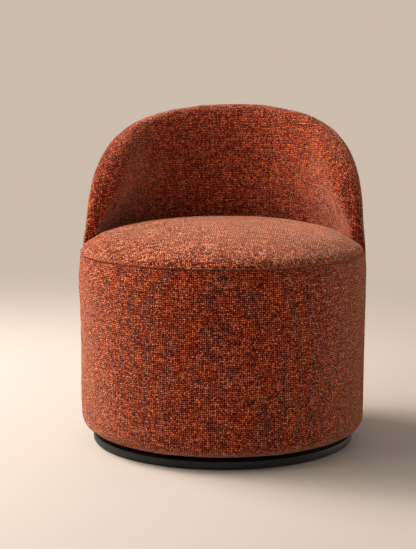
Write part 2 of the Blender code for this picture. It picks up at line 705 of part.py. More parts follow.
def outer_back_wrap():
    end_angle = WRAP_ANGLE - GAP / SHELL_RADIUS
    sections = []
    for angle in rear_columns(end_angle):
        top = wrap_top(angle, end_angle)
        bend = BEND_LEVELS[-1]
        levels = [*BEND_LEVELS, *[bend + (top - bend) * k / 3 for k in (1, 2, 3)]]
        turn_in = end_rounding((end_angle - abs(angle)) * SHELL_RADIUS, SHELL_END_RADIUS)
        sections.append(cover_section(angle, lambda z, t=turn_in: shell_radius(z) - t,
                                      lambda z: COVER_INNER - lean(z), levels, BEND_LEVELS))
    loft("outer_back_wrap", sections, FABRIC)


def pad_bottom(angle):
    share = min(1.0, abs(angle) / WRAP_ANGLE)
    return SEAT_Z + (RIM_END_Z - SEAT_Z) * share**PAD_BOTTOM_POWER


def inner_back_pad():
    """The back's padding: its inner face, the rolled rim and the lip over the hoop's outside."""
    sections = []
    for angle in rear_columns(WRAP_ANGLE):
        crest, low = arch(angle, WRAP_ANGLE, BACK_HEIGHT), pad_bottom(angle)
        lip, slot = wrap_top(angle) + 2 * GAP, slot_top(angle)
        middle = sum(back_faces(angle, crest)) / 2
        if crest - low < 0.001:
            sections.append([point(angle, middle, crest)] * 19)
            continue
        roll = min(ROLL_RADIUS * 1.1, 0.45 * (crest - low))
        inside_z = [low + (crest - roll - low) * k / PAD_ROWS for k in range(PAD_ROWS + 1)]
        inside_z += [crest - roll * share for share in ROLL_ROWS[::-1]]
        outside_z = [crest - min(roll, crest - lip) * share for share in (*ROLL_ROWS, ROLL_LAST_ROW)]
        section = [(back_faces(angle, z)[0], z) for z in inside_z]
        section += [(middle, crest)]
        section += [(back_faces(angle, z)[1], z) for z in (*outside_z, lip)]
        slot_in = min(max(SLOT_INNER, back_faces(angle, low)[0] + 0.003), PANEL_INNER - 2 * GAP)
        section += [(COVER_INNER - lean(z), z) for z in (lip, slot)]
        section += [(slot_in - lean(z), z) for z in (slot, low)]
        sections.append([point(angle, r, z) for r, z in section])
    loft("inner_back_pad", sections, FABRIC)


def seat_reach(angle, z, width):
    """How far the seat cushion reaches from the axis: the drum's width in front, and the inner
    back's face behind, with a step out just past the ends of the back."""
    if abs(angle) > WRAP_ANGLE + SEAT_STEP_ANGLE:
        return width
    return min(width, back_faces(min(abs(angle), rear_columns(WRAP_ANGLE)[-2]), z)[0] - 2 * GAP)


def seat_cushion():
    """Rings from the flat underside, up the plug inside the drum, and in over the crown."""
    step = [WRAP_ANGLE + SEAT_STEP_ANGLE * share for share in (1, 2.5)]
    half = [*[a for a in rear_columns(WRAP_ANGLE) if a > 0][:-1], *step,
            *[math.radians(a) for a in range(95, 180, COLUMN_STEP)]]
    angles = [0.0, *half, math.pi, *[-a for a in half[::-1]]]
    plug = COVER_INNER - 3 * GAP
    under = BAND_TOP + GAP
    rings = [[point(a, seat_reach(a, z, width), z) for a in angles]
             for z, width in ((SEAT_Z, plug - PLUG_EDGE), (SEAT_Z + PLUG_EDGE, plug), (under, plug),
                              (under, SEAT_RADIUS - SEAM_Z + under))]
    edges = []
    for angle in angles:
        first = seat_reach(angle, SEAM_Z + CROWN_HEIGHT / 2, SEAT_RADIUS)
        edges.append(seat_reach(angle, seat_top(first), SEAT_RADIUS))
    for share in CROWN_ROWS:
        rings.append([point(a, share * r, seat_top(share * r)) for a, r in zip(angles, edges)])
    loft("seat_cushion", rings, FABRIC)


def seat_welt():
    """The piping in the seam between the seat's top and the front band."""
    start = WRAP_ANGLE + 2 * WELT_RADIUS / SEAT_RADIUS
    span = 2 * math.pi - 2 * start
    line = SEAT_RADIUS + SEAT_INSET - GAP
    curve = bpy.data.curves.new("seat_welt", "CURVE")
    curve.dimensions = "3D"
    curve.bevel_depth = WELT_RADIUS
    curve.bevel_resolution = 1
    curve.use_fill_caps = True
    spline = curve.splines.new("POLY")
    spline.points.add(WELT_STEPS)
    for k, spot in enumerate(spline.points):
        spot.co = (*point(start + span * k / WELT_STEPS, line, SEAM_Z - WELT_RADIUS / 2), 1.0)
    place("seat_welt", curve, FABRIC)


def dust_cover():
    inner = math.hypot(PLATE_SIDE, PLATE_SIDE) / 2 + DUST_COVER_MARGIN
    outer = HEM_INNER - 2 * GAP
    high = BOARD_Z - GAP
    low = high - DUST_COVER_THICKNESS
    turned("dust_cover", [(inner, high), (outer, high), (outer, low), (inner, low)], WEBBING, 48)


clear_scene()
PARTS = collection("swivel_chair")
CUTTERS = collection("cutters")
plinth_assembly()
bearing()
wooden_frame()
hoop()
ribs()
panels()
webbing()
dust_cover()
front_band()
outer_back_wrap()
inner_back_pad()
seat_cushion()
seat_welt()
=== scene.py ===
import math

import bmesh
import bpy
import numpy as np
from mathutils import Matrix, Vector, noise


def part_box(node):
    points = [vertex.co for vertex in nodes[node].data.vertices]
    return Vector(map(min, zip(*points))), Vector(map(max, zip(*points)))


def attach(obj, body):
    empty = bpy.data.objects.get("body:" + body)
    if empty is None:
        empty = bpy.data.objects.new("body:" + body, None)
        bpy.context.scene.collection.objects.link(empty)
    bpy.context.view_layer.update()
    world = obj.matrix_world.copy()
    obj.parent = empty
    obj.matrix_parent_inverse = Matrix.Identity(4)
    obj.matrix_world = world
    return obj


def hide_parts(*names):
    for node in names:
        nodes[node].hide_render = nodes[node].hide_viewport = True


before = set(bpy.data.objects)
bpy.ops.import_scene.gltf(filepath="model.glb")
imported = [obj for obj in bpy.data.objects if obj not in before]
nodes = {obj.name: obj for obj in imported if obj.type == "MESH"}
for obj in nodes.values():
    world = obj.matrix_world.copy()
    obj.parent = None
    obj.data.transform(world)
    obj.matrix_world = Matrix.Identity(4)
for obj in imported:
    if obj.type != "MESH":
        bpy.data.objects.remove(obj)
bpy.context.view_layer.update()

# The looks of an armless swivel chair: a round drum with a crowned seat and a wrapped back.
# Metres, +Z up, the front faces -Y. Angles go round from the rear, +Y, towards +X.

print("frame loaded,", len(nodes), "nodes")

viewpoint = {
    "distance": 3.2165,  # from the swivel's axis
    "height": 0.8286,
    "azimuth": 4.95,  # degrees towards +X
    "tilt": 8.29,  # degrees down
    "pan": 0.575,  # degrees to the left of the axis
    "lens": 97.95,  # millimetres, on a sensor 36 wide
}


def makeCamera(v):
    data = bpy.data.cameras.new("camera")
    data.lens = v["lens"]
    data.sensor_width = 36.0
    data.clip_end = 60.0
    camera = bpy.data.objects.new("camera", data)
    bpy.context.scene.collection.objects.link(camera)
    azimuth, heading = math.radians(v["azimuth"]), math.radians(v["azimuth"] + v["pan"])
    tilt = math.radians(v["tilt"])
    camera.location = (v["distance"] * math.sin(azimuth), -v["distance"] * math.cos(azimuth), v["height"])
    level = math.cos(tilt)
    forward = Vector((-math.sin(heading) * level, math.cos(heading) * level, -math.sin(tilt)))
    camera.rotation_mode = "QUATERNION"
    camera.rotation_quaternion = forward.to_track_quat("-Z", "Y")
    bpy.context.scene.camera = camera


makeCamera(viewpoint)
bpy.context.scene.view_settings.view_transform = "Standard"
print("camera placed")


# Small helpers for node trees: a number or a socket may go into any input.
def feed(tree, socket, value):
    if isinstance(value, bpy.types.NodeSocket):
        tree.links.new(value, socket)
    else:
        socket.default_value = value


def addNode(tree, kind, inputs=(), **settings):
    node = tree.nodes.new(kind)
    for key, value in settings.items():
        setattr(node, key, value)
    for key, value in dict(inputs).items():
        feed(tree, node.inputs[key], value)
    return node


def calc(tree, operation, *values):
    node = tree.nodes.new("ShaderNodeMath")
    node.operation = operation
    for socket, value in zip(node.inputs, values):
        feed(tree, socket, value)
    return node.outputs[0]


def calcVector(tree, operation, *values):
    node = tree.nodes.new("ShaderNodeVectorMath")
    node.operation = operation
    for socket, value in zip(node.inputs, values):
        feed(tree, socket, value)
    return node.outputs[0]


def scaleVector(tree, vector, factor):
    node = tree.nodes.new("ShaderNodeVectorMath")
    node.operation = "SCALE"
    feed(tree, node.inputs[0], vector)
    feed(tree, node.inputs["Scale"], factor)
    return node.outputs[0]


def combine(tree, x, y, z):
    return addNode(tree, "ShaderNodeCombineXYZ", {0: x, 1: y, 2: z}).outputs[0]


def split(tree, vector):
    return addNode(tree, "ShaderNodeSeparateXYZ", {0: vector}).outputs


def cloud(tree, vector, scale, detail, output="Fac", **more):
    inputs = {"Vector": vector, "Scale": scale, "Detail": detail, **more}
    return addNode(tree, "ShaderNodeTexNoise", inputs).outputs[output]


def remap(tree, value, low, high, **settings):
    inputs = {"Value": value, "From Min": low, "From Max": high}
    return addNode(tree, "ShaderNodeMapRange", inputs, **settings).outputs[0]


def centred(tree, value, gain, base):
    return calc(tree, "MULTIPLY_ADD", calc(tree, "SUBTRACT", value, 0.5), gain, base)


def objectPlace(tree):
    return addNode(tree, "ShaderNodeTexCoord").outputs["Object"]


def surfaceNormal(tree):
    return split(tree, addNode(tree, "ShaderNodeNewGeometry").outputs["Normal"])


def ramp(tree, value, stops):
    node = addNode(tree, "ShaderNodeValToRGB", {"Fac": value})
    elements = node.color_ramp.elements
    while len(elements) < len(stops):
        elements.new(0.5)
    for element, (place, colour) in zip(elements, stops):
        element.position = place
        element.color = (*colour, 1.0)
    return node.outputs["Color"]


def newGroup(name, inputs, outputs):
    group = bpy.data.node_groups.new(name, "ShaderNodeTree")
    for label, kind, value in inputs:
        socket = group.interface.new_socket(label, in_out="INPUT", socket_type=kind)
        if value is not None:
            socket.default_value = value
    for label, kind in outputs:
        group.interface.new_socket(label, in_out="OUTPUT", socket_type=kind)
    return group, group.nodes.new("NodeGroupInput").outputs, group.nodes.new("NodeGroupOutput").inputs


def useGroup(tree, group, inputs):
    node = tree.nodes.new("ShaderNodeGroup")
    node.node_tree = group
    for key, value in inputs.items():
        feed(tree, node.inputs[key], value)
    return node.outputs


def newMaterial(name, **shader):
    material = bpy.data.materials.new(name)
    material.use_nodes = True
    tree = material.node_tree
    principled = tree.nodes["Principled BSDF"]
    for label, value in shader.items():
        principled.inputs[label.replace("_", " ")].default_value = value
    return material, tree, principled


def bump(tree, principled, height, distance, strength):
    node = addNode(tree, "ShaderNodeBump", {"Height": height, "Distance": distance, "Strength": strength})
    tree.links.new(node.outputs["Normal"], principled.inputs["Normal"])


floatSocket, vectorSocket = "NodeSocketFloat", "NodeSocketVector"


# Plain weave of two yarns. Vector is a place on the cloth in metres. Its Shade is darkened in the gaps
# between yarns and lightened on their crowns: painted shade.
yarns = {
    "wanderScale": 18.0,  # the cloth isn't quite straight
    "jitterScale": 210.0,  # nor is each yarn
    "slubContrast": 2.2,
    "yarnContrast": 0.25,  # between one yarn and the next
    "humpAcross": 1.8,  # how steeply a yarn falls off to its sides, and along to where it dips under
    "humpAlong": 1.3,
    "middleHeight": 0.75,
    "slubHeight": 0.15,
}


def makeWeave(y):
    group, given, made = newGroup(
        "plainWeave",
        [("Vector", vectorSocket, None), ("Pitch", floatSocket, 0.0035), ("Wander", floatSocket, 0.003),
         ("Jitter", floatSocket, 0.4), ("Slub Length", floatSocket, 0.02), ("Slub", floatSocket, 0.4),
         ("Speckle", floatSocket, 0.2), ("Gap Shade", floatSocket, 0.5), ("Streak Across", floatSocket, 0.3),
         ("Streak Up", floatSocket, 0.2), ("Streak Length", floatSocket, 0.03),
         ("Streak Width", floatSocket, 0.004)],
        [("Shade", floatSocket), ("Height", floatSocket)])

    def drift(scale, reach):
        colour = cloud(group, given["Vector"], scale, 1.0, "Color")
        return scaleVector(group, calcVector(group, "SUBTRACT", colour, (0.5, 0.5, 0.5)), reach)

    wide = drift(y["wanderScale"], given["Wander"])
    close = drift(y["jitterScale"], calc(group, "MULTIPLY", given["Pitch"], given["Jitter"]))
    place = calcVector(group, "ADD", calcVector(group, "ADD", given["Vector"], wide), close)
    spots = split(group, place)
    u = calc(group, "DIVIDE", spots[0], given["Pitch"])
    v = calc(group, "DIVIDE", spots[1], given["Pitch"])
    column, row = calc(group, "FLOOR", u), calc(group, "FLOOR", v)
    across, along = calc(group, "FRACT", u), calc(group, "FRACT", v)
    over = calc(group, "FLOORED_MODULO", calc(group, "ADD", column, row), 2.0)

    def yarn(index, distance, offset):
        pick = addNode(group, "ShaderNodeTexWhiteNoise", {"W": calc(group, "ADD", index, offset)},
                       noise_dimensions="1D").outputs["Value"]
        spot = combine(group, calc(group, "MULTIPLY", pick, 61.0),  # each yarn has a place of its own
                       calc(group, "DIVIDE", distance, given["Slub Length"]), offset)
        slub = cloud(group, spot, 1.0, 2.0, Roughness=0.6)
        return centred(group, slub, y["slubContrast"],
                       calc(group, "MULTIPLY", calc(group, "SUBTRACT", pick, 0.5), y["yarnContrast"]))

    warp, weft = yarn(column, spots[1], 0.37), yarn(row, spots[0], 211.61)

    def hump(share, width):
        offset = calc(group, "MULTIPLY", calc(group, "SUBTRACT", share, 0.5), width)
        return calc(group, "SUBTRACT", 1.0, calc(group, "MULTIPLY", offset, offset))

    warpHump = calc(group, "MULTIPLY", hump(across, y["humpAcross"]), hump(along, y["humpAlong"]))
    weftHump = calc(group, "MULTIPLY", hump(along, y["humpAcross"]), hump(across, y["humpAlong"]))

    def choose(first, second):
        mix = addNode(group, "ShaderNodeMix", {"Factor": over, 2: first, 3: second}, data_type="FLOAT")
        return mix.outputs[0]

    yarnShade, height = choose(warp, weft), choose(warpHump, weftHump)
    fleck = addNode(group, "ShaderNodeTexWhiteNoise", {"Vector": combine(group, column, row, 0.0)},
                    noise_dimensions="2D").outputs["Value"]
    shade = calc(group, "MULTIPLY_ADD", yarnShade, given["Slub"], 0.5)
    long, narrow = given["Streak Length"], given["Streak Width"]
    for gain, size in (("Streak Across", (long, narrow)), ("Streak Up", (narrow, long))):
        spot = calcVector(group, "DIVIDE", place, combine(group, *size, 1.0))
        shade = centred(group, cloud(group, spot, 1.0, 0.0), given[gain], shade)
    shade = centred(group, fleck, given["Speckle"], shade)
    # Painted shade: below the middle height, in the gaps between yarns, the colour is darkened, and above it
    # lightened
    lifted = calc(group, "SUBTRACT", height, y["middleHeight"])
    shade = calc(group, "MULTIPLY_ADD", lifted, given["Gap Shade"], shade)
    group.links.new(shade, made["Shade"])
    group.links.new(calc(group, "MULTIPLY_ADD", yarnShade, y["slubHeight"], height), made["Height"])
    return group


weave = makeWeave(yarns)

coverCloth = {
    "pitch": 0.0041,  # from yarn to yarn
    "wander": 0.005,
    "jitter": 1.5,
    "slubLength": 0.020,
    "slub": 0.28,
    "speckle": 0.40,
    # painted shade that darkens the gaps between yarns
    "gapShade": 1.40,
    "streakAcross": 0.37,
    "streakUp": 0.16,
    "streakLength": 0.026,
    "streakWidth": 0.0042,
    "patch": 0.03,  # slow change over the whole cover
    "patchScale": 14.0,
    "fuzz": 0.35,
    "fuzzScale": 900.0,
    "bumpDepth": 0.0018,
    "bumpStrength": 0.9,
    "roughness": 0.92,
    "specular": 0.12,
    "sheen": 1.0,
    "sheenRoughness": 0.17,
    "sheenTint": (1.0, 0.54, 0.38),
    "shades": [
        (0.0, (0.018, 0.0019, 0.0008)),
        (0.3, (0.104, 0.0104, 0.0036)),
        (0.5, (0.297, 0.0335, 0.0108)),
        (0.7, (0.580, 0.0900, 0.0315)),
        (1.0, (1.000, 0.3050, 0.1300)),
    ],
}
# On the seat the same cloth gets lighter, less saturated shades: painted light for the light its top catches.
# The slubs are longer there too.
seatClothPaintedLight = dict(
    coverCloth, sheenRoughness=0.20, slub=0.55, slubLength=0.030, streakAcross=0.80, streakUp=0.10,
    streakLength=0.055, streakWidth=0.008, speckle=0.66, bumpDepth=0.0024,
    # lighter than the cover's shades: painted light on the seat's top
    shades=[
        (0.0, (0.068, 0.0070, 0.0026)),
        (0.3, (0.182, 0.0195, 0.0070)),
        (0.5, (0.415, 0.0545, 0.0200)),
        (0.7, (0.780, 0.1680, 0.0680)),
        (1.0, (0.960, 0.3900, 0.2000)),
    ])


def makeCoverCloth(name, c):
    material, tree, principled = newMaterial(
        name, Roughness=c["roughness"], Specular_IOR_Level=c["specular"], Sheen_Weight=c["sheen"],
        Sheen_Roughness=c["sheenRoughness"], Sheen_Tint=(*c["sheenTint"], 1.0))
    cloth = addNode(tree, "ShaderNodeUVMap", uv_map="cloth").outputs["UV"]
    woven = useGroup(tree, weave, {
        "Vector": cloth, "Pitch": c["pitch"], "Wander": c["wander"], "Jitter": c["jitter"],
        "Slub Length": c["slubLength"], "Slub": c["slub"], "Speckle": c["speckle"], "Gap Shade": c["gapShade"],
        "Streak Across": c["streakAcross"], "Streak Up": c["streakUp"],
        "Streak Length": c["streakLength"], "Streak Width": c["streakWidth"]})
    shade = centred(tree, cloud(tree, cloth, c["patchScale"], 3.0), c["patch"], woven["Shade"])
    tree.links.new(ramp(tree, shade, c["shades"]), principled.inputs["Base Color"])
    fuzz = cloud(tree, cloth, c["fuzzScale"], 2.0)
    height = calc(tree, "MULTIPLY_ADD", fuzz, c["fuzz"], woven["Height"])
    bump(tree, principled, height, c["bumpDepth"], c["bumpStrength"])
    return material


chenille = makeCoverCloth("chenille", coverCloth)
seatChenillePaintedLight = makeCoverCloth("seatChenillePaintedLight", seatClothPaintedLight)
print("cover cloth ready")


# Shape of the upholstery, as the frame has it.
drum = {
    "radius": 0.310,
    "seamZ": 0.4154,
    "hemZ": 0.0245,
    "hemInner": 0.2525,
    "corner": 0.037,  # rounding at the hem
    "leanStart": 0.372,
    "leanBlend": 0.040,
    "leanSlope": math.tan(math.radians(3.18)),
    "taperSlope": math.tan(math.radians(0.573)),
    "coverInner": 0.2961,  # the covers' inner face, against the panels
    "panelInner": 0.2928,  # the panels' inner face, below which the cover turns in under the board
    "panelFoot": 0.0189,  # how far the panels end above the board's foot
    "boardZ": 0.0313,
    "boardRound": 0.018,  # rounding of the board's lower edge, and the middle of that arc
    "boardRoundCentre": 0.2745,
    "clearance": 0.0003,
}
back = {
    "halfAngle": math.radians(90.5),
    "endZ": 0.4266,
    "height": 0.2955,
    "power": 2.2,  # of the arch, a superellipse
    "lip": 0.038,  # how far the rolled rim reaches down outside
    "roll": 0.0236,
    "thickAtSides": 0.036,
    "thickAtTop": 0.0472,
    "thickAtSeat": 0.077,
    "sideSwell": 0.030,  # fuller stuffing at the sides, and its larger roll
    "sideRoll": 0.040,
    "swellLow": (0.452, 0.556),  # the swell comes in above the seat, and goes out below the top
    "swellHigh": (0.610, 0.700),
    "rimSteps": 800,
    "rollSteps": 16,
}


def lean(z):
    over = np.maximum(0.0, np.asarray(z, float) - drum["leanStart"])
    blend = drum["leanBlend"]
    return drum["leanSlope"] * np.where(over < blend, over * over / (2 * blend), over - blend / 2)


def wallRadius(z):
    return drum["radius"] - drum["taperSlope"] * np.maximum(0.0, drum["leanStart"] - np.asarray(z, float))


def shellRadius(z):
    return wallRadius(z) - lean(z)


def quarter(share):
    return np.sqrt(np.maximum(0.0, 1 - (1 - np.minimum(1.0, np.maximum(0.0, share))) ** 2))


def archHeight(angle, rise, halfAngle=back["halfAngle"]):
    share = np.minimum(1.0, np.abs(angle) / halfAngle)
    return back["endZ"] + rise * (1 - share ** back["power"]) ** (1 / back["power"])


def archAngle(turn, halfAngle=back["halfAngle"]):
    share = np.cos(turn)
    return -halfAngle * np.sign(share) * np.abs(share) ** (2 / back["power"])


# The rim's line with the back laid flat: distance round the drum, and height.
rimAngles = archAngle(np.linspace(0.0, math.pi, back["rimSteps"] + 1))
rimLine = np.stack([drum["radius"] * rimAngles, archHeight(rimAngles, back["height"])], axis=1)
rimTangent = np.gradient(rimLine, axis=0)
rimTangent /= np.linalg.norm(rimTangent, axis=1)[:, None]
rimNormal = np.stack([-rimTangent[:, 1], rimTangent[:, 0]], axis=1)  # outward


# Index of the rim's nearest point, and the distance to it.
def nearestRim(angle, z):
    spots = np.stack([drum["radius"] * np.ravel(angle), np.ravel(z)], axis=1)
    index, distance = [], []
    for chunk in np.array_split(spots, max(1, len(spots) // 4000)):  # in parts, to save memory
        gaps = np.hypot(chunk[:, None, 0] - rimLine[None, :, 0], chunk[:, None, 1] - rimLine[None, :, 1])
        index.append(gaps.argmin(axis=1))
        distance.append(gaps.min(axis=1))
    shape = np.shape(np.asarray(angle) + np.asarray(z))
    return np.concatenate(index).reshape(shape), np.concatenate(distance).reshape(shape)


def easeIn(value, low, high):
    share = np.clip((np.asarray(value, float) - low) / (high - low), 0.0, 1.0)
    return share * share * (3 - 2 * share)


# Half the shell's thickness, and how far the padding and its roll reach inside from its middle.
def backDepths(angle, z):
    facing = np.cos(np.minimum(np.abs(angle), math.pi / 2)) ** 2
    half = (back["thickAtSides"] + (back["thickAtTop"] - back["thickAtSides"]) * facing) / 2
    crest = archHeight(angle, back["height"])
    height = np.clip((z - drum["seamZ"]) / np.maximum(0.001, crest - drum["seamZ"]), 0.0, 1.0)
    bulge = (back["thickAtSeat"] - back["thickAtTop"]) * facing * (1 - height**2)
    swell = (1 - facing) * easeIn(z, *back["swellLow"]) * (1 - easeIn(z, *back["swellHigh"]))
    inside = half + bulge + back["sideSwell"] * swell
    return half, inside, back["roll"] + (back["sideRoll"] - back["roll"]) * swell


# Radius of the back's inner and outer face.
def backFaces(angle, z):
    angle, z = np.broadcast_arrays(np.asarray(angle, float), np.asarray(z, float))
    half, inside, insideRoll = backDepths(angle, z)
    distance = nearestRim(angle, z)[1]
    middle = shellRadius(z) - half
    return middle - inside * quarter(distance / insideRoll), middle + half * quarter(distance / back["roll"])


# How much longer the cloth is than the flat distance, from the rim to this far down the inside roll.
def rollSpare(distance, depth, roll):
    turn = np.arccos(np.clip(1 - distance / roll, 0, 1))
    parts = np.linspace(0.0, 1.0, back["rollSteps"] + 1)[:, None] * turn
    speed = np.hypot(roll * np.sin(parts), depth * np.cos(parts))
    run = np.sum((speed[1:] + speed[:-1]) / 2 * np.diff(parts, axis=0), axis=0)
    return run - roll * (1 - np.cos(turn))


def polar(angle, radius, z):
    angle, radius, z = np.broadcast_arrays(angle, radius, z)
    return np.stack([radius * np.sin(angle), radius * np.cos(angle), z], axis=-1)


def arcPoints(centre, radius, start, end, steps):
    turns = np.radians(np.linspace(start, end, steps + 1))
    return [(centre[0] + radius * math.cos(t), centre[1] + radius * math.sin(t)) for t in turns]


def meshFrom(name, points, faces, cloth=None, free=None):
    mesh = bpy.data.meshes.new(name)
    mesh.from_pydata([tuple(p) for p in points], [], faces)
    mesh.update()
    if cloth is not None:
        layer = mesh.uv_layers.new(name="cloth")
        corners = np.zeros(len(mesh.loops), int)
        mesh.loops.foreach_get("vertex_index", corners)
        layer.data.foreach_set("uv", np.asarray(cloth, np.float32)[corners].ravel())
    if free is not None:
        mesh.attributes.new("free", "FLOAT", "POINT").data.foreach_set("value", np.asarray(free, np.float32))
    obj = bpy.data.objects.new(name, mesh)
    bpy.context.scene.collection.objects.link(obj)
    return obj


# A loft of closed sections, one row of points for each section, with flat ends.
def loftPiece(name, sections, cloth, free):
    columns, rows = sections.shape[:2]
    faces = []
    for i in range(columns - 1):
        for j in range(rows):
            k = (j + 1) % rows
            faces.append((i * rows + j, i * rows + k, (i + 1) * rows + k, (i + 1) * rows + j))
    faces.append(tuple(range(rows))[::-1])
    faces.append(tuple((columns - 1) * rows + j for j in range(rows)))
    obj = meshFrom(name, sections.reshape(-1, 3), faces, cloth.reshape(-1, 2), free.ravel())
    mend(obj)
    return obj


def mend(obj):
    bm = bmesh.new()
    bm.from_mesh(obj.data)
    bmesh.ops.remove_doubles(bm, verts=bm.verts, dist=1e-6)
    bmesh.ops.dissolve_degenerate(bm, dist=1e-7, edges=bm.edges)
    bmesh.ops.triangulate(bm, faces=[f for f in bm.faces if len(f.verts) > 4])
    bmesh.ops.recalc_face_normals(bm, faces=bm.faces)
    bm.to_mesh(obj.data)
    bm.free()


def bake(obj):
    graph = bpy.context.evaluated_depsgraph_get()
    mesh = bpy.data.meshes.new_from_object(obj.evaluated_get(graph), preserve_all_data_layers=True,
                                           depsgraph=graph)
    old = obj.data
    obj.modifiers.clear()
    obj.data = mesh
    bpy.data.meshes.remove(old)
    mesh.name = obj.name


def refine(obj):
    smooth = obj.modifiers.new("refine", "SUBSURF")
    smooth.levels = smooth.render_levels = 1
    bake(obj)


def pointsOf(mesh):
    flat = np.zeros(len(mesh.vertices) * 3)
    mesh.vertices.foreach_get("co", flat)
    return flat.reshape(-1, 3)


def normalsOf(mesh):
    flat = np.zeros(len(mesh.vertices) * 3)
    mesh.vertex_normals.foreach_get("vector", flat)
    return flat.reshape(-1, 3)


def freeOf(mesh):
    flat = np.zeros(len(mesh.vertices))
    mesh.attributes["free"].data.foreach_get("value", flat)
    return flat


def setPoints(mesh, points):
    mesh.vertices.foreach_set("co", points.ravel())
    mesh.update()


# Uneven stuffing: low swells over the free part of a piece, the same on every run.
def unevenness(obj, swells, seed):
    mesh = obj.data
    points, normals, free = pointsOf(mesh), normalsOf(mesh), freeOf(mesh)
    shift = np.zeros(len(points))
    for size, depth in swells:
        offset = Vector((seed * 3.1, seed * 7.7, seed * 1.3))
        shift += depth * np.array([noise.noise(Vector(p) / size + offset) for p in points])
    setPoints(mesh, points + normals * (shift * free)[:, None])


simulation = {
    "frames": 20,
    "quality": 6,
    "mass": 0.25,
    "stretch": 18.0,
    "shear": 6.0,
    "pinLevels": 20,  # steps of the pin weight
}


# Stuffing: the cover is blown up a little as cloth, held where it is sewn or rests on the frame.
def inflate(obj, stuffing, s):
    scene, mesh = bpy.context.scene, obj.data
    start, normals, free = pointsOf(mesh), normalsOf(mesh), freeOf(mesh)
    setPoints(mesh, start - normals * (stuffing["slack"] * free)[:, None])
    held = obj.vertex_groups.new(name="held")
    for level in range(s["pinLevels"] + 1):
        near = np.flatnonzero(np.round((1 - free) * s["pinLevels"]) == level).tolist()
        held.add(near, level / s["pinLevels"], "REPLACE")
    swell = obj.modifiers.new("swell", "CLOTH")
    cloth = swell.settings
    cloth.quality = s["quality"]
    cloth.mass = s["mass"]
    cloth.tension_stiffness = cloth.compression_stiffness = s["stretch"]
    cloth.shear_stiffness = s["shear"]
    cloth.bending_stiffness = stuffing["bending"]
    cloth.shrink_min = -stuffing["spare"]  # the cover is cut a little larger than the stuffing
    cloth.vertex_group_mass = "held"
    cloth.pin_stiffness = 1.0
    cloth.use_pressure = True
    cloth.uniform_pressure_force = stuffing["pressure"]
    cloth.effector_weights.gravity = 0.0
    swell.point_cache.frame_start, swell.point_cache.frame_end = 1, s["frames"]
    for number in range(1, s["frames"] + 1):
        scene.frame_set(number)
    blown = obj.evaluated_get(bpy.context.evaluated_depsgraph_get()).data
    moved = pointsOf(blown) - start
    obj.modifiers.clear()
    obj.vertex_groups.clear()
    scene.frame_set(1)
    out = np.sum(moved * normals, axis=1)
    moved -= normals * (out - np.maximum(out, -stuffing["dip"]))[:, None]  # it sinks no deeper than the dip
    length = np.linalg.norm(moved, axis=1)
    limit = stuffing["limit"] * free
    moved *= (limit * np.tanh(length / np.maximum(limit, 1e-6)) / np.maximum(length, 1e-9))[:, None]
    setPoints(mesh, start + moved)
    furthest = float(np.linalg.norm(moved, axis=1).max())
    print(obj.name, "stuffed, moved up to", round(furthest * 1000, 1), "mm")


# Sharper edges than this angle stay sharp.
def smoothTo(obj, degrees):
    obj.data.set_sharp_from_angle(angle=math.radians(degrees))


def assign(obj, body, replaced):
    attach(obj, body)
    if replaced:
        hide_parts(*replaced)


def dress(obj, body, material, replaced, fill=None):
    obj.data.materials.clear()
    obj.data.materials.append(material)
    obj.data.shade_smooth()
    smoothTo(obj, 60)
    assign(obj, body, replaced)


def steps(start, end, count):
    return list(np.linspace(start, end, count + 1))


# Padded covers of the drum: up from the hem, over the face, and down inside.
cover = {
    "spacing": math.radians(1.5),  # between the columns
    "endSteps": (0.0, 0.0006, 0.0016, 0.0032, 0.0055, 0.009),  # closer columns at the side seams
    "rowHeight": 0.009,
    "cornerRows": 9,
    "topEdge": 0.0026,
    "bandStep": 0.0035,  # the band's top seam lies this far inside the drum's face
    "bandSwell": 0.005,
    "bandSwellHeight": 0.045,
    "bandSwellWidth": 0.025,
    "bandInsideRows": 4,
    "bandEnd": 0.003,
    "wrapEnd": 0.008,
    "wrapBlend": 0.05,  # height over which the wrap's face comes to follow the rolled rim
    "wrapThinnest": 0.002,
    "wrapSideAngle": math.radians(80),  # past it the columns follow the arch's steep ends
    "wrapSteepColumns": 24,
    "wrapEndAngle": 0.03,  # and the even ones come back this near the ends
    "wrapRows": (40, 30),  # below the seam and above it
    "wrapInsideRows": 6,
    "wrapShift": (0.013, 0.007),  # so that its weave doesn't run on from the band's
    "seamGap": 0.0029,
    "sideGap": 0.00004,  # the band and the wrap are sewn edge to edge
    "insideStop": 0.2,  # one more row halfway down the inside
    "held": {"top": 0.03, "hem": 0.05, "side": 0.05},  # from a seam to where the cover is free
    "unevenness": [(0.16, 0.0018), (0.055, 0.0009)],
    "stuffing": {"slack": 0.002, "spare": 0.012, "pressure": 4.0, "bending": 1.2, "limit": 0.0035,
                 "dip": 0.0008},
}


# Rows of (radius, height): in from the hem and round the lower corner, over the top edge, and down inside.
def hemRows(outer):
    hem, corner = drum["hemZ"], drum["corner"]
    centre = outer(hem + corner) - corner
    flat = [(drum["hemInner"], hem), ((drum["hemInner"] + centre) / 2, hem)]
    return flat + arcPoints((centre, hem + corner), corner, -90, 0, cover["cornerRows"])


def edgeRows(outer, top):
    edge = cover["topEdge"]
    rim = outer(top) - edge
    return [(rim + edge * math.cos(t), top - edge + edge * math.sin(t)) for t in np.radians((30, 60, 90))]


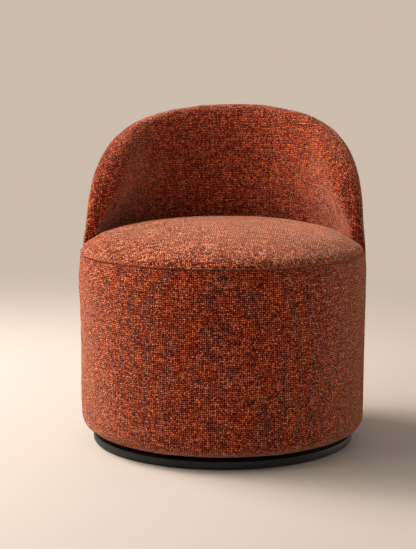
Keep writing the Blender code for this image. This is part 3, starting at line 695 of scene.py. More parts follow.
def insideRows(inner, top, count):
    boardZ, panelZ = drum["boardZ"], drum["boardZ"] + drum["panelFoot"]
    centre, radius = (drum["boardRoundCentre"], boardZ + drum["boardRound"]), drum["boardRound"]
    rows = [(inner(z), z) for z in steps(top, drum["leanStart"], count)]
    rows += [(drum["coverInner"], cover["insideStop"]), (drum["coverInner"], panelZ)]
    rows += [(drum["panelInner"], panelZ)]
    rows += arcPoints(centre, radius + drum["clearance"], 0, -90, 3)
    return rows + [(drum["hemInner"], boardZ - drum["clearance"])]


def alongSection(points):
    return np.concatenate([[0.0], np.cumsum(np.hypot(*np.diff(points, axis=0).T))])


# How much longer the cloth is than the flat distance, where a cover turns in at its end.
def turnedRun(end, radius):
    reach = radius - min(max(end, 0.0), radius)
    return radius * math.asin(reach / radius) - reach


def coverPiece(name, angles, profile, middle, endRadius, clothShift):
    sections, cloth, free = [], [], []
    held = cover["held"]
    halfWidth = (max(angles) - min(angles)) / 2
    for angle in angles:
        outside, inside, loose = profile(angle)
        section, count = np.concatenate([outside, inside]), len(outside)
        run = alongSection(section)
        height = run - run[count - 4] + outside[-4][1]  # the cloth's height runs true on the face
        side = 1 if angle > middle else -1
        end = (halfWidth - abs(angle - middle)) * drum["radius"]
        across = np.full(len(run), angle * drum["radius"] + side * turnedRun(end, endRadius))
        face = np.interp(inside[:, 1], *outside[3:-3, ::-1].T)
        across[count:] += side * (face - inside[:, 0])
        height[count:] = inside[:, 1]
        sections.append(polar(angle, section[:, 0], section[:, 1]))
        cloth.append(np.stack([across, height], axis=1) + clothShift)
        fromHem, fromTop = run[:count], run[count - 1] - run[:count]
        weight = np.zeros(len(section))
        weight[:count] = loose * np.clip(fromTop / held["top"], 0, 1) * np.clip(fromHem / held["hem"], 0, 1)
        free.append(weight)
    return loftPiece(name, np.array(sections), np.array(cloth), np.array(free))


def endColumns(start, end, radius):
    near = [start + d / radius for d in cover["endSteps"]]
    far = [end - (d - start) for d in near[::-1]]
    count = round((far[0] - near[-1]) / cover["spacing"])
    return near + steps(near[-1], far[0], count)[1:-1] + far


def makeFrontBand():
    start = back["halfAngle"] + 0.5 * cover["sideGap"] / drum["radius"]
    top = drum["seamZ"] - cover["seamGap"]
    low, high = drum["hemZ"] + drum["corner"], top - cover["topEdge"]

    def profile(angle):
        end = (min(angle, 2 * math.pi - angle) - start) * drum["radius"]
        sideSwell = float(quarter(end / cover["bandSwellWidth"]))
        turnIn = cover["bandEnd"] * (1 - float(quarter(end / cover["bandEnd"])))

        def outer(z):
            swell = sideSwell * quarter((top - z) / cover["bandSwellHeight"])
            return float(wallRadius(z) - cover["bandStep"] + cover["bandSwell"] * swell - turnIn)

        face = [(outer(z), z) for z in steps(low, high, round((high - low) / cover["rowHeight"]))[1:]]
        inside = insideRows(lambda z: drum["coverInner"], top, cover["bandInsideRows"])
        outside = hemRows(outer) + face + edgeRows(outer, top)
        return np.array(outside), np.array(inside), min(1.0, end / cover["held"]["side"])

    angles = endColumns(start, 2 * math.pi - start, drum["radius"])
    return coverPiece("frontBand", angles, profile, math.pi, cover["bandEnd"], (0.0, 0.0))


def makeOuterWrap():
    half = back["halfAngle"] - 0.5 * cover["sideGap"] / drum["radius"]
    sideAngle = cover["wrapSideAngle"]
    turns = np.linspace(0, math.pi, cover["wrapSteepColumns"] + 1)
    steep = [float(a) for a in archAngle(turns, half) if abs(a) > sideAngle]
    even = [a for a in endColumns(-half, half, drum["radius"])
            if abs(a) <= sideAngle or abs(abs(a) - half) < cover["wrapEndAngle"]]
    angles = sorted(set(round(a, 6) for a in steep + even))
    below, above = cover["wrapRows"]

    def profile(angle):
        top = float(archHeight(angle, back["height"] - back["lip"], half)) - drum["clearance"]
        end = (half - abs(angle)) * drum["radius"]
        turnIn = cover["wrapEnd"] * (1 - float(quarter(end / cover["wrapEnd"])))

        def inner(z):
            return drum["coverInner"] - float(lean(z))

        def outer(z):
            squared = float(shellRadius(z)) - turnIn
            blend = float(easeIn(z, back["endZ"], back["endZ"] + cover["wrapBlend"]))
            if blend == 0:
                return squared
            rolled = min(squared, max(float(backFaces(angle, z)[1]), inner(z) + cover["wrapThinnest"]))
            return squared + (rolled - squared) * blend

        face = steps(drum["hemZ"] + drum["corner"], drum["seamZ"], below)[1:]
        face += steps(drum["seamZ"], top - cover["topEdge"], above)[1:]
        outside = hemRows(outer) + [(outer(z), z) for z in face] + edgeRows(outer, top)
        inside = insideRows(inner, top, cover["wrapInsideRows"])
        return np.array(outside), np.array(inside), min(1.0, end / cover["held"]["side"])

    return coverPiece("outerWrap", angles, profile, 0.0, cover["wrapEnd"], cover["wrapShift"])


frontBand = makeFrontBand()
outerWrap = makeOuterWrap()
print("drum covers lofted")


# The back's padding, from the seat up the inside, over the rolled rim and down to its lip.
pad = {
    "columns": 140,
    "insideRows": 34,
    "outsideRows": 12,
    "outsidePower": 1.7,  # closer rows at the rim
    "bottomPower": 8,
    "seatZ": 0.3739,
    "slotInner": 0.2810,  # the slot at the back that holds the hoop
    "slotOuter": 0.2922,
    "slotWall": 0.003,
    "slotTop": 0.0015,
    "slotSide": 0.02,  # radians past the hoop's legs
    "hoopCentre": 0.2872,
    "hoopInset": 0.022,
    "hoopRadius": 0.005,
    "clothShift": (0.021, 0.011),
    "held": {"seat": 0.02, "seatEase": 0.03, "lip": 0.02, "side": 0.03},
    "unevenness": [(0.15, 0.0022), (0.05, 0.0011)],
    "stuffing": {"slack": 0.003, "spare": 0.020, "pressure": 4.0, "bending": 0.8, "limit": 0.0045,
                 "dip": 0.0008},
}


# Place on the cloth, laid out flat from the rim: down the inside, and down the outside to the lip.
def padCloth(angle, z, isInside):
    angles = np.full(len(z), angle)
    index, distance = nearestRim(angles, z)
    depth, insideRoll = backDepths(angles, z)[1:]
    spare = rollSpare(np.full(len(z), 1.0), depth, insideRoll)
    left = spare - rollSpare(distance, depth, insideRoll)
    roll = back["roll"]
    rolled = np.where(distance < roll, roll * np.arccos(np.clip(1 - distance / roll, -1, 1)),
                      distance + roll * (math.pi / 2 - 1))
    flat = np.stack([angles * drum["radius"], z], axis=1)
    normal = rimNormal[index]
    outside = rimLine[index] + normal * (spare + rolled)[:, None]
    return np.where(isInside[:, None], flat + normal * left[:, None], outside)


def makeInnerPad():
    sections, cloth, free = [], [], []
    held = pad["held"]
    hoopHalf = back["halfAngle"] - pad["hoopInset"] / pad["hoopCentre"]
    hoopRise = back["height"] - pad["hoopInset"]
    up = np.linspace(0.0, 1.0, pad["insideRows"] + 1)
    down = np.linspace(0.0, 1.0, pad["outsideRows"] + 1)[1:]
    isInside = np.arange(len(up) + len(down)) <= pad["insideRows"]
    for turn in np.linspace(0.0, math.pi, pad["columns"] + 1):
        angle = float(archAngle(turn))
        crest = float(archHeight(angle, back["height"]))
        share = min(1.0, abs(angle) / back["halfAngle"])
        low = pad["seatZ"] + (back["endZ"] - pad["seatZ"]) * share ** pad["bottomPower"]
        lip = float(archHeight(angle, back["height"] - back["lip"])) + drum["clearance"]
        hoopTop = float(archHeight(angle, hoopRise, hoopHalf)) + pad["hoopRadius"] + pad["slotTop"]
        slot = max(lip, hoopTop) if abs(angle) < hoopHalf + pad["slotSide"] else lip
        insideZ = low + (crest - low) * (1 - (1 - up) ** 2)
        z = np.concatenate([insideZ, crest - (crest - lip) * down ** pad["outsidePower"]])
        inner, outer = backFaces(angle, z)
        slotIn = min(max(pad["slotInner"], inner[0] + pad["slotWall"]), pad["slotOuter"])
        hiddenZ = np.array([lip, slot, slot, (slot + low) / 2, low])
        hiddenR = np.array([drum["coverInner"], drum["coverInner"], slotIn, slotIn, slotIn]) - lean(hiddenZ)
        radius = np.concatenate([np.where(isInside, inner, outer), hiddenR])
        sections.append(polar(angle, radius, np.concatenate([z, hiddenZ])))
        hidden = np.stack([np.full(len(hiddenZ), angle * drum["radius"]), hiddenZ], axis=1)
        cloth.append(np.concatenate([padCloth(angle, z, isInside), hidden]) + pad["clothShift"])
        ends = np.clip((back["halfAngle"] - abs(angle)) * drum["radius"] / held["side"], 0, 1)
        aboveSeat = np.clip((z - drum["seamZ"] - held["seat"]) / held["seatEase"], 0, 1)
        weight = np.where(isInside, aboveSeat, np.clip((z - lip) / held["lip"], 0, 1)) * ends
        free.append(np.concatenate([weight, np.zeros(len(hiddenZ))]))
    return loftPiece("innerPad", np.array(sections), np.array(cloth), np.array(free))


innerPad = makeInnerPad()
print("back padding lofted")


# The seat: an even grid over a disc, crowned, with its plug inside the drum.
seat = {
    "grid": 68,
    "crown": 0.063,
    "crownPower": 2.0,
    "radius": 0.3055,
    "underEdge": 0.0026,  # the seam's edge turns in by this much
    "plug": 0.2952,
    "plugEdge": 0.004,
    "rearRound": 0.012,  # the top rounds down where it meets the back
    "rearDrop": 0.007,
    "rearEase": 0.012,
    "endEase": math.radians(1.2),  # past the back's ends the seat widens to its full radius
    "endTuck": 0.002,
    "runSteps": 2000,
    "clothBelow": 1.02,  # below the seam the cloth's place steps out a little
    "held": {"edge": 0.05, "rise": 0.04, "start": 0.4},
    "unevenness": [(0.17, 0.0022), (0.06, 0.0010)],
    "stuffing": {"slack": 0.003, "spare": 0.018, "pressure": 4.0, "bending": 0.8, "limit": 0.0030,
                 "dip": 0.0010},
}


def seatTop(radius):
    share = np.minimum(1.0, np.asarray(radius, float) / seat["radius"])
    return drum["seamZ"] + seat["crown"] * np.sqrt(np.maximum(0.0, 1 - share ** seat["crownPower"]))


# How far the seat reaches in a direction: to its own width, or to the back's padding.
def seatReach(angle, z, width):
    turned = np.abs((np.asarray(angle) + math.pi) % (2 * math.pi) - math.pi)
    backAngle = np.minimum(turned, back["halfAngle"] - seat["endTuck"])
    inner = backFaces(backAngle, z)[0] - 2 * drum["clearance"]
    past = np.clip((turned - back["halfAngle"]) / seat["endEase"], 0, 1)
    return np.minimum(width, inner * (1 - past) + width * past)


# A square grid pressed into a disc: distance from the middle, and angle from the rear.
def discGrid(n):
    a, b = np.meshgrid(np.linspace(-1, 1, n + 1), np.linspace(-1, 1, n + 1), indexing="ij")
    wide = np.abs(a) > np.abs(b)
    safeA, safeB = np.where(a == 0, 1, a), np.where(b == 0, 1, b)
    rho = np.where(wide, a, b)
    phi = np.where(wide, math.pi / 4 * b / safeA, math.pi / 2 - math.pi / 4 * a / safeB)
    x, y = rho * np.cos(phi), rho * np.sin(phi)
    return np.hypot(x, y), np.arctan2(x, y)


def makeSeat():
    n, held = seat["grid"], seat["held"]
    away, angle = discGrid(n)
    share = np.linspace(0, 1, seat["runSteps"] + 1)
    run = alongSection(np.stack([share * seat["radius"], seatTop(share * seat["radius"])], axis=1))
    edge = seatReach(angle, drum["seamZ"] + seat["crown"] / 2, seat["radius"])
    edge = seatReach(angle, seatTop(edge), seat["radius"])
    radius = edge * np.interp(away, run / run[-1], share)
    z = seatTop(radius)
    rear = np.clip((seat["radius"] - edge) / seat["rearEase"], 0, 1)
    z = z - rear * seat["rearDrop"] * (1 - quarter((edge - radius) / seat["rearRound"]))
    points = np.stack([radius * np.sin(angle), radius * np.cos(angle), z], axis=-1)
    arc = np.interp(radius / seat["radius"], share, run) / np.maximum(radius, 1e-6)
    cloth = points[..., :2] * np.where(radius > 1e-6, arc, 1.0)[..., None]
    risen = (edge - radius) / held["edge"] + (z - drum["seamZ"]) / held["rise"]
    free = np.clip(risen - held["start"], 0, 1)
    index = np.arange((n + 1) ** 2).reshape(n + 1, n + 1)
    faces = [(index[i, j], index[i + 1, j], index[i + 1, j + 1], index[i, j + 1])
             for i in range(n) for j in range(n)]
    loop = [*index[0, :-1], *index[:-1, -1], *index[-1, :0:-1], *index[:0:-1, 0]]
    count = len(loop)
    points, cloth, free = points.reshape(-1, 3), cloth.reshape(-1, 2), free.ravel()
    turns = np.arctan2(points[loop, 0], points[loop, 1])
    under = drum["seamZ"] - seat["underEdge"]
    rings = [(under, seat["radius"] - seat["underEdge"]), (under, seat["plug"]),
             (pad["seatZ"] + seat["plugEdge"], seat["plug"]),
             (pad["seatZ"], seat["plug"] - seat["plugEdge"])]
    last = loop
    for ringZ, width in rings:
        ring = list(range(len(points), len(points) + count))
        points = np.concatenate([points, polar(turns, seatReach(turns, ringZ, width), ringZ)])
        cloth = np.concatenate([cloth, cloth[loop] * seat["clothBelow"]])
        free = np.concatenate([free, np.zeros(count)])
        faces += [(last[k], last[(k + 1) % count], ring[(k + 1) % count], ring[k]) for k in range(count)]
        last = ring
    faces.append(tuple(last))
    obj = meshFrom("seatCushion", points, faces, cloth, free)
    mend(obj)
    return obj


seatCushion = makeSeat()
print("seat cushion crowned")


welt = {
    "radius": 0.0016,
    "fuller": 0.0009,  # on the left it fills the groove
    "fullerAngles": (math.radians(165), math.radians(225)),
    "fullerEase": 0.02,
    "line": 0.3062,
    "drop": 0.0008,
    "tuck": 0.006,  # its ends run in under the back
    "tuckLength": 0.012,
    "clothShift": 0.3,
    "steps": 300,
    "sides": 10,
}


def makeWelt(w):
    start = back["halfAngle"] + 2 * w["radius"] / seat["radius"]
    fullerStart, fullerEnd = w["fullerAngles"]
    turns = np.linspace(0, 2 * math.pi, w["sides"], endpoint=False)
    sections, cloth = [], []
    for angle in np.linspace(start, 2 * math.pi - start, w["steps"] + 1):
        end = min(angle - start, 2 * math.pi - start - angle) * w["line"]
        tuck = w["tuck"] * (1 - min(1.0, end / w["tuckLength"])) ** 2
        leftward = min(1.0, max(0.0, (angle - fullerStart) / (fullerEnd - fullerStart)))
        thick = w["radius"] + w["fuller"] * leftward * min(1.0, end / w["fullerEase"])
        radius = w["line"] - tuck + thick * np.cos(turns)
        z = drum["seamZ"] - w["drop"] - tuck / 3 + thick * np.sin(turns)
        sections.append(polar(angle, radius, z))
        along = np.full(w["sides"], angle * w["line"])
        cloth.append(np.stack([along, turns * w["radius"] + w["clothShift"]], axis=1))
    held = np.zeros((w["steps"] + 1, w["sides"]))
    return loftPiece("seatWelt", np.array(sections), np.array(cloth), held)


seatWelt = makeWelt(welt)
print("welt run round the seat")

upholstery = [
    # piece, its values, seed, cloth, the node that it replaces, fill
    (frontBand, cover, 1, chenille, "front_band", 0.7),
    (outerWrap, cover, 2, chenille, "outer_back_wrap", 0.7),
    (innerPad, pad, 3, chenille, "inner_back_pad", 0.8),
    (seatCushion, seat, 4, seatChenillePaintedLight, "seat_cushion", 0.8),
]
for obj, values, seed, cloth, node, fill in upholstery:
    inflate(obj, values["stuffing"], simulation)
    refine(obj)
    unevenness(obj, values["unevenness"], seed)
refine(seatWelt)
for obj, values, seed, cloth, node, fill in upholstery:
    dress(obj, "chair_body", cloth, [node], fill)
dress(seatWelt, "chair_body", chenille, ["seat_welt"])
print("upholstery dressed")


# Finishes of the plinth, the bearing and the frame under the cloth. Dust, scuffs and grain are shared.
settling = {
    "grit": 22.0,  # times finer than the patches
    "edge": (0.16, 0.42),
    "onTop": 0.7,  # it lies thickest on what faces up
    "elsewhere": 0.3,
}


def makeDust(s):
    group, given, made = newGroup("dust", [("Vector", vectorSocket, None), ("Scale", floatSocket, 60.0),
                                           ("Amount", floatSocket, 0.3)], [("Mask", floatSocket)])
    patches = cloud(group, given["Vector"], given["Scale"], 4.0)
    grit = cloud(group, given["Vector"], calc(group, "MULTIPLY", given["Scale"], s["grit"]), 1.0)
    up = calc(group, "MAXIMUM", surfaceNormal(group)["Z"], 0.0)
    lying = calc(group, "MULTIPLY_ADD", up, s["onTop"], s["elsewhere"])
    mask = remap(group, calc(group, "MULTIPLY", patches, grit), *s["edge"])
    mask = calc(group, "MULTIPLY", calc(group, "MULTIPLY", mask, lying), given["Amount"])
    group.links.new(mask, made["Mask"])
    return group


scratching = {
    "lines": [(0.3, (1.0, 0.06, 1.0)), (1.7, (1.0, 0.05, 0.4)), (2.6, (0.5, 0.04, 1.0))],  # turn, stretch
    "spread": 9.0,
    "edge": (0.64, 0.72),
}


def makeScuffs(s):
    group, given, made = newGroup("scuffs", [("Vector", vectorSocket, None), ("Scale", floatSocket, 90.0),
                                             ("Amount", floatSocket, 0.5)], [("Mask", floatSocket)])
    total = None
    for turn, stretch in s["lines"]:
        spot = addNode(group, "ShaderNodeVectorRotate", {"Vector": given["Vector"], "Angle": turn},
                       rotation_type="Z_AXIS").outputs[0]
        spot = scaleVector(group, calcVector(group, "MULTIPLY", spot, stretch), given["Scale"])
        line = remap(group, cloud(group, spot, s["spread"], 2.0), *s["edge"])
        total = line if total is None else calc(group, "MAXIMUM", total, line)
    group.links.new(calc(group, "MULTIPLY", total, given["Amount"]), made["Mask"])
    return group


growth = {"bend": 0.35, "pores": 7.0, "ringShade": 0.75, "poreShade": 0.35}


def makeGrain(g):
    group, given, made = newGroup(
        "grain", [("Vector", vectorSocket, None), ("Spacing", floatSocket, 0.004),
                  ("Along", vectorSocket, (1, 0.05, 1)), ("Waviness", floatSocket, 0.6)],
        [("Fac", floatSocket), ("Height", floatSocket)])
    spot = calcVector(group, "MULTIPLY", given["Vector"], given["Along"])
    spot = scaleVector(group, spot, calc(group, "DIVIDE", 1.0, given["Spacing"]))
    bend = scaleVector(group, cloud(group, spot, g["bend"], 2.0, "Color"), given["Waviness"])
    bent = calcVector(group, "ADD", spot, bend)
    rings, pores = cloud(group, bent, 1.0, 3.0), cloud(group, bent, g["pores"], 2.0)
    shade = calc(group, "MULTIPLY_ADD", pores, g["poreShade"], calc(group, "MULTIPLY", rings, g["ringShade"]))
    group.links.new(shade, made["Fac"])
    group.links.new(pores, made["Height"])
    return group


dust, scuffs, grain = makeDust(settling), makeScuffs(scratching), makeGrain(growth)


def mixColour(tree, factor, first, second):
    inputs = {"Factor": factor}
    for key, colour in ((6, first), (7, second)):
        inputs[key] = colour if isinstance(colour, bpy.types.NodeSocket) else (*colour, 1.0)
    return addNode(tree, "ShaderNodeMix", inputs, data_type="RGBA").outputs[2]


def settledDust(tree, place, scale, amount):
    return useGroup(tree, dust, {"Vector": place, "Scale": scale, "Amount": amount})["Mask"]


def scratches(tree, place, scale, amount):
    return useGroup(tree, scuffs, {"Vector": place, "Scale": scale, "Amount": amount})["Mask"]


lacquer = {
    "colour": (0.0085, 0.0085, 0.0085),
    "worn": (0.045, 0.038, 0.032),
    "specular": 0.38,
    "roughness": 0.58,
    "mottle": 0.16,  # of the roughness
    "mottleScale": 45.0,
    "dust": 0.03,
    "dustScale": 30.0,
    "dustColour": (0.20, 0.17, 0.14),
    "dustRoughness": 0.35,
    "scuffs": 0.30,
    "scuffScale": 26.0,
    "peelScale": 650.0,
    "bumpDepth": 0.00025,
    "bumpStrength": 0.35,
}


def makeLacquer(name, c):
    material, tree, principled = newMaterial(name, Specular_IOR_Level=c["specular"])
    place = objectPlace(tree)
    lies = settledDust(tree, place, c["dustScale"], c["dust"])
    worn = scratches(tree, place, c["scuffScale"], c["scuffs"])
    colour = mixColour(tree, worn, c["colour"], c["worn"])
    tree.links.new(mixColour(tree, lies, colour, c["dustColour"]), principled.inputs["Base Color"])
    rough = centred(tree, cloud(tree, place, c["mottleScale"], 4.0), c["mottle"], c["roughness"])
    rough = calc(tree, "MULTIPLY_ADD", lies, c["dustRoughness"], rough)
    tree.links.new(rough, principled.inputs["Roughness"])
    peel = cloud(tree, place, c["peelScale"], 2.0)
    bump(tree, principled, calc(tree, "SUBTRACT", peel, worn), c["bumpDepth"], c["bumpStrength"])
    return material


metal = {
    "zincSteel": {"colour": (0.56, 0.57, 0.59), "dark": (0.40, 0.41, 0.43), "roughness": 0.30,
                  "spangle": 130.0, "metallic": 1.0, "scuffs": 0.5, "scuffColour": (0.74, 0.75, 0.76)},
    "blackRod": {"colour": (0.018, 0.018, 0.020), "dark": (0.011, 0.011, 0.012), "roughness": 0.42,
                 "spangle": 420.0, "metallic": 0.0, "scuffs": 0.35, "scuffColour": (0.19, 0.18, 0.17)},
    "ballSteel": {"colour": (0.66, 0.67, 0.69), "dark": (0.60, 0.61, 0.63), "roughness": 0.12,
                  "spangle": 900.0, "metallic": 1.0, "scuffs": 0.15, "scuffColour": (0.52, 0.52, 0.54)},
}
metalWear = {
    "scuffScale": 70.0,
    "dust": 0.10,
    "dustScale": 80.0,
    "dustColour": (0.23, 0.20, 0.17),
    "dustRoughness": 0.5,
    "spangleLow": -0.05,  # roughness from cell to cell
    "spangleRange": 0.12,
    "bumpDepth": 0.00012,
    "bumpStrength": 0.4,
}


def makeMetal(name, c, w):
    material, tree, principled = newMaterial(name, Metallic=c["metallic"])
    place = objectPlace(tree)
    cells = addNode(tree, "ShaderNodeTexVoronoi", {"Vector": place, "Scale": c["spangle"]}).outputs["Color"]
    cell = addNode(tree, "ShaderNodeSeparateColor", {0: cells}).outputs[0]
    line = scratches(tree, place, w["scuffScale"], c["scuffs"])
    lies = settledDust(tree, place, w["dustScale"], w["dust"])
    colour = mixColour(tree, line, mixColour(tree, cell, c["dark"], c["colour"]), c["scuffColour"])
    tree.links.new(mixColour(tree, lies, colour, w["dustColour"]), principled.inputs["Base Color"])
    rough = calc(tree, "MULTIPLY_ADD", cell, w["spangleRange"], c["roughness"] + w["spangleLow"])
    rough = calc(tree, "MULTIPLY_ADD", lies, w["dustRoughness"], rough)
    tree.links.new(rough, principled.inputs["Roughness"])
    bump(tree, principled, calc(tree, "SUBTRACT", cell, line), w["bumpDepth"], w["bumpStrength"])
    return material


wood = {
    "beechPly": {"light": (0.66, 0.47, 0.29), "dark": (0.42, 0.26, 0.14), "spacing": 0.005,
                 "along": (0.05, 1.0, 0.35), "ply": 0.0018, "roughness": 0.72},
    "pineUpright": {"light": (0.72, 0.51, 0.29), "dark": (0.50, 0.29, 0.13), "spacing": 0.006,
                    "along": (1.0, 1.0, 0.05), "ply": 0.0, "roughness": 0.68},
    "hardboard": {"light": (0.36, 0.22, 0.125), "dark": (0.20, 0.115, 0.06), "spacing": 0.0012,
                  "along": (1.0, 1.0, 0.7), "ply": 0.0, "roughness": 0.80},
}
woodWays = {
    "specular": 0.3,
    "contrast": (0.38, 0.72),
    "plyShade": 0.45,  # every other layer shows end grain, darker and lower, at the board's edge
    "grainInPly": 0.7,
    "plyDepth": 0.6,
    "mottle": 0.2,  # of the roughness
    "bumpDepth": 0.0004,
    "bumpStrength": 0.5,
}


def makeWood(name, c, w):
    material, tree, principled = newMaterial(name, Specular_IOR_Level=w["specular"])
    place = objectPlace(tree)
    grown = useGroup(tree, grain, {"Vector": place, "Spacing": c["spacing"], "Along": c["along"]})
    shade, height = remap(tree, grown["Fac"], *w["contrast"]), grown["Height"]
    if c["ply"]:
        level = calc(tree, "DIVIDE", split(tree, place)["Z"], c["ply"])
        layer = calc(tree, "FLOORED_MODULO", calc(tree, "FLOOR", level), 2.0)
        side = calc(tree, "SUBTRACT", 1.0, calc(tree, "ABSOLUTE", surfaceNormal(tree)["Z"]))
        layer = calc(tree, "MULTIPLY", layer, side)
        shade = calc(tree, "MULTIPLY", shade, w["grainInPly"])
        shade = calc(tree, "MULTIPLY_ADD", layer, w["plyShade"], shade)
        height = calc(tree, "MULTIPLY_ADD", layer, -w["plyDepth"], height)
    tree.links.new(mixColour(tree, shade, c["light"], c["dark"]), principled.inputs["Base Color"])
    rough = centred(tree, grown["Fac"], w["mottle"], c["roughness"])
    tree.links.new(rough, principled.inputs["Roughness"])
    bump(tree, principled, height, w["bumpDepth"], w["bumpStrength"])
    return material


plastic = {
    "nylonWhite": {"colour": (0.74, 0.70, 0.62), "shade": (0.62, 0.57, 0.49), "roughness": 0.42,
                   "flow": 140.0},
    "glidePlastic": {"colour": (0.020, 0.020, 0.021), "shade": (0.034, 0.033, 0.032), "roughness": 0.62,
                     "flow": 300.0},
}
plasticWear = {
    "specular": 0.42,
    "dust": 0.25,
    "dustScale": 90.0,
    "dustColour": (0.22, 0.19, 0.16),
    "scuffs": 0.3,
    "scuffScale": 80.0,
    "scuffRoughness": 0.25,
    "bumpDepth": 0.00015,
    "bumpStrength": 0.4,
}


def makePlastic(name, c, w):
    material, tree, principled = newMaterial(name, Specular_IOR_Level=w["specular"])
    place = objectPlace(tree)
    flow = cloud(tree, place, c["flow"], 3.0)
    lies = settledDust(tree, place, w["dustScale"], w["dust"])
    line = scratches(tree, place, w["scuffScale"], w["scuffs"])
    colour = mixColour(tree, flow, c["colour"], c["shade"])
    tree.links.new(mixColour(tree, lies, colour, w["dustColour"]), principled.inputs["Base Color"])
    rough = calc(tree, "MULTIPLY_ADD", line, w["scuffRoughness"], c["roughness"])
    tree.links.new(rough, principled.inputs["Roughness"])
    bump(tree, principled, calc(tree, "SUBTRACT", flow, line), w["bumpDepth"], w["bumpStrength"])
    return material


underCloth = {
    # In both, the colour is darkened in the gaps between yarns: painted shade.
    "webbing": {"pitch": 0.0021, "slub": 0.30, "gapShade": 0.9, "speckle": 0.15, "shades": [
        (0.0, (0.004, 0.004, 0.0045)), (0.5, (0.026, 0.026, 0.029)), (1.0, (0.085, 0.083, 0.086))]},
    "dustCloth": {"pitch": 0.0011, "slub": 0.55, "gapShade": 0.4, "speckle": 0.6, "shades": [
        (0.0, (0.005, 0.005, 0.005)), (0.5, (0.017, 0.017, 0.018)), (1.0, (0.055, 0.053, 0.052))]},
}
underWays = {
    "roughness": 0.88,
    "specular": 0.2,
    "sheen": 0.15,
    "wander": 0.0006,
    "jitter": 0.3,
    "streaks": 0.2,
    "dust": 0.12,
    "dustScale": 50.0,
    "dustColour": (0.22, 0.19, 0.16),
    "bumpDepth": 0.0006,
    "bumpStrength": 0.8,
}


def makeUnderCloth(name, c, w):
    material, tree, principled = newMaterial(name, Roughness=w["roughness"], Specular_IOR_Level=w["specular"],
                                             Sheen_Weight=w["sheen"])
    place = objectPlace(tree)
    woven = useGroup(tree, weave, {
        "Vector": place, "Pitch": c["pitch"], "Wander": w["wander"], "Jitter": w["jitter"], "Slub": c["slub"],
        "Gap Shade": c["gapShade"], "Speckle": c["speckle"], "Streak Across": w["streaks"],
        "Streak Up": w["streaks"]})
    lies = settledDust(tree, place, w["dustScale"], w["dust"])
    colour = mixColour(tree, lies, ramp(tree, woven["Shade"], c["shades"]), w["dustColour"])
    tree.links.new(colour, principled.inputs["Base Color"])
    bump(tree, principled, woven["Height"], w["bumpDepth"], w["bumpStrength"])
    return material


blackLacquer = makeLacquer("blackLacquer", lacquer)
zincSteel, blackRod, ballSteel = [makeMetal(name, c, metalWear) for name, c in metal.items()]
beechPly, pineUpright, hardboard = [makeWood(name, c, woodWays) for name, c in wood.items()]
nylonWhite, glidePlastic = [makePlastic(name, c, plasticWear) for name, c in plastic.items()]
webbing, dustCloth = [makeUnderCloth(name, c, underWays) for name, c in underCloth.items()]
print("finishes under the cloth ready")

frameFinish = {
    "lower_swivel_plate": zincSteel,
    "upper_swivel_plate": zincSteel,
    "pivot_bolt": zincSteel,
    "pivot_nut": zincSteel,
    "pivot_washer": nylonWhite,
    "base_board": beechPly,
    "seat_ring": beechPly,
    "back_hoop": blackRod,
    "hoop_foot_left": zincSteel,
    "hoop_foot_right": zincSteel,
    "back_panel": hardboard,
    "front_panel": hardboard,
    "dust_cover": dustCloth,
}
for count, stem, finish in ((6, "post", pineUpright), (5, "back_rib", beechPly),
                            (3, "lengthwise_strap", webbing), (3, "crosswise_strap", webbing)):
    for number in range(1, count + 1):
        frameFinish[f"{stem}_{number}"] = finish
for name, finish in frameFinish.items():
    for place in nodes[name].material_slots:
        place.material = finish
print("frame finished,", len(frameFinish), "nodes")


# Small pieces that repeat, and the plinth, are grown by geometry nodes.
countSocket, formSocket, finishSocket = "NodeSocketInt", "NodeSocketGeometry", "NodeSocketMaterial"


def newForm(name, inputs):
    tree = bpy.data.node_groups.new(name, "GeometryNodeTree")
    for label, kind, value in inputs:
        socket = tree.interface.new_socket(label, in_out="INPUT", socket_type=kind)
        if value is not None:
            socket.default_value = value
    tree.interface.new_socket("Geometry", in_out="OUTPUT", socket_type=formSocket)
    return tree, tree.nodes.new("NodeGroupInput").outputs, tree.nodes.new("NodeGroupOutput").inputs[0]


def step(tree, kind, inputs=(), **settings):
    return addNode(tree, kind, inputs, **settings).outputs[0]


def useForm(tree, form, inputs):
    node = tree.nodes.new("GeometryNodeGroup")
    node.node_tree = form
    for key, value in inputs.items():
        feed(tree, node.inputs[key], value)
    return node.outputs[0]


def finishForm(tree, geometry, finish, result):
    real = step(tree, "GeometryNodeRealizeInstances", {"Geometry": geometry})
    smooth = step(tree, "GeometryNodeSetShadeSmooth", {"Geometry": real})
    tree.links.new(step(tree, "GeometryNodeSetMaterial", {"Geometry": smooth, "Material": finish}), result)


def joinForms(tree, *parts):
    node = tree.nodes.new("GeometryNodeJoinGeometry")
    for part in parts:
        tree.links.new(part, node.inputs[0])
    return node.outputs[0]


# A finished piece from a tree, with its named inputs set, as a plain mesh.
def growPiece(name, tree, values, body, replaced=(), smoothAngle=40):
    obj = meshFrom(name, [], [])
    grow = obj.modifiers.new("grow", "NODES")
    grow.node_group = tree
    for item in tree.interface.items_tree:
        if item.in_out == "INPUT" and item.name in values:
            grow[item.identifier] = values[item.name]
    bake(obj)
    mend(obj)
    if obj.data.materials[0] is None:  # an empty slot may come first
        obj.data.materials.pop(index=0)
    smoothTo(obj, smoothAngle)
    assign(obj, body, replaced)


def lift(tree, height):
    return combine(tree, 0.0, 0.0, height)


def shifted(tree, geometry, height):
    return step(tree, "GeometryNodeSetPosition", {"Geometry": geometry, "Offset": lift(tree, height)})


def raised(tree, geometry, height):
    return step(tree, "GeometryNodeTransform", {"Geometry": geometry, "Translation": lift(tree, height)})


def placeOn(tree, points, instance, **more):
    return step(tree, "GeometryNodeInstanceOnPoints", {"Points": points, "Instance": instance, **more})


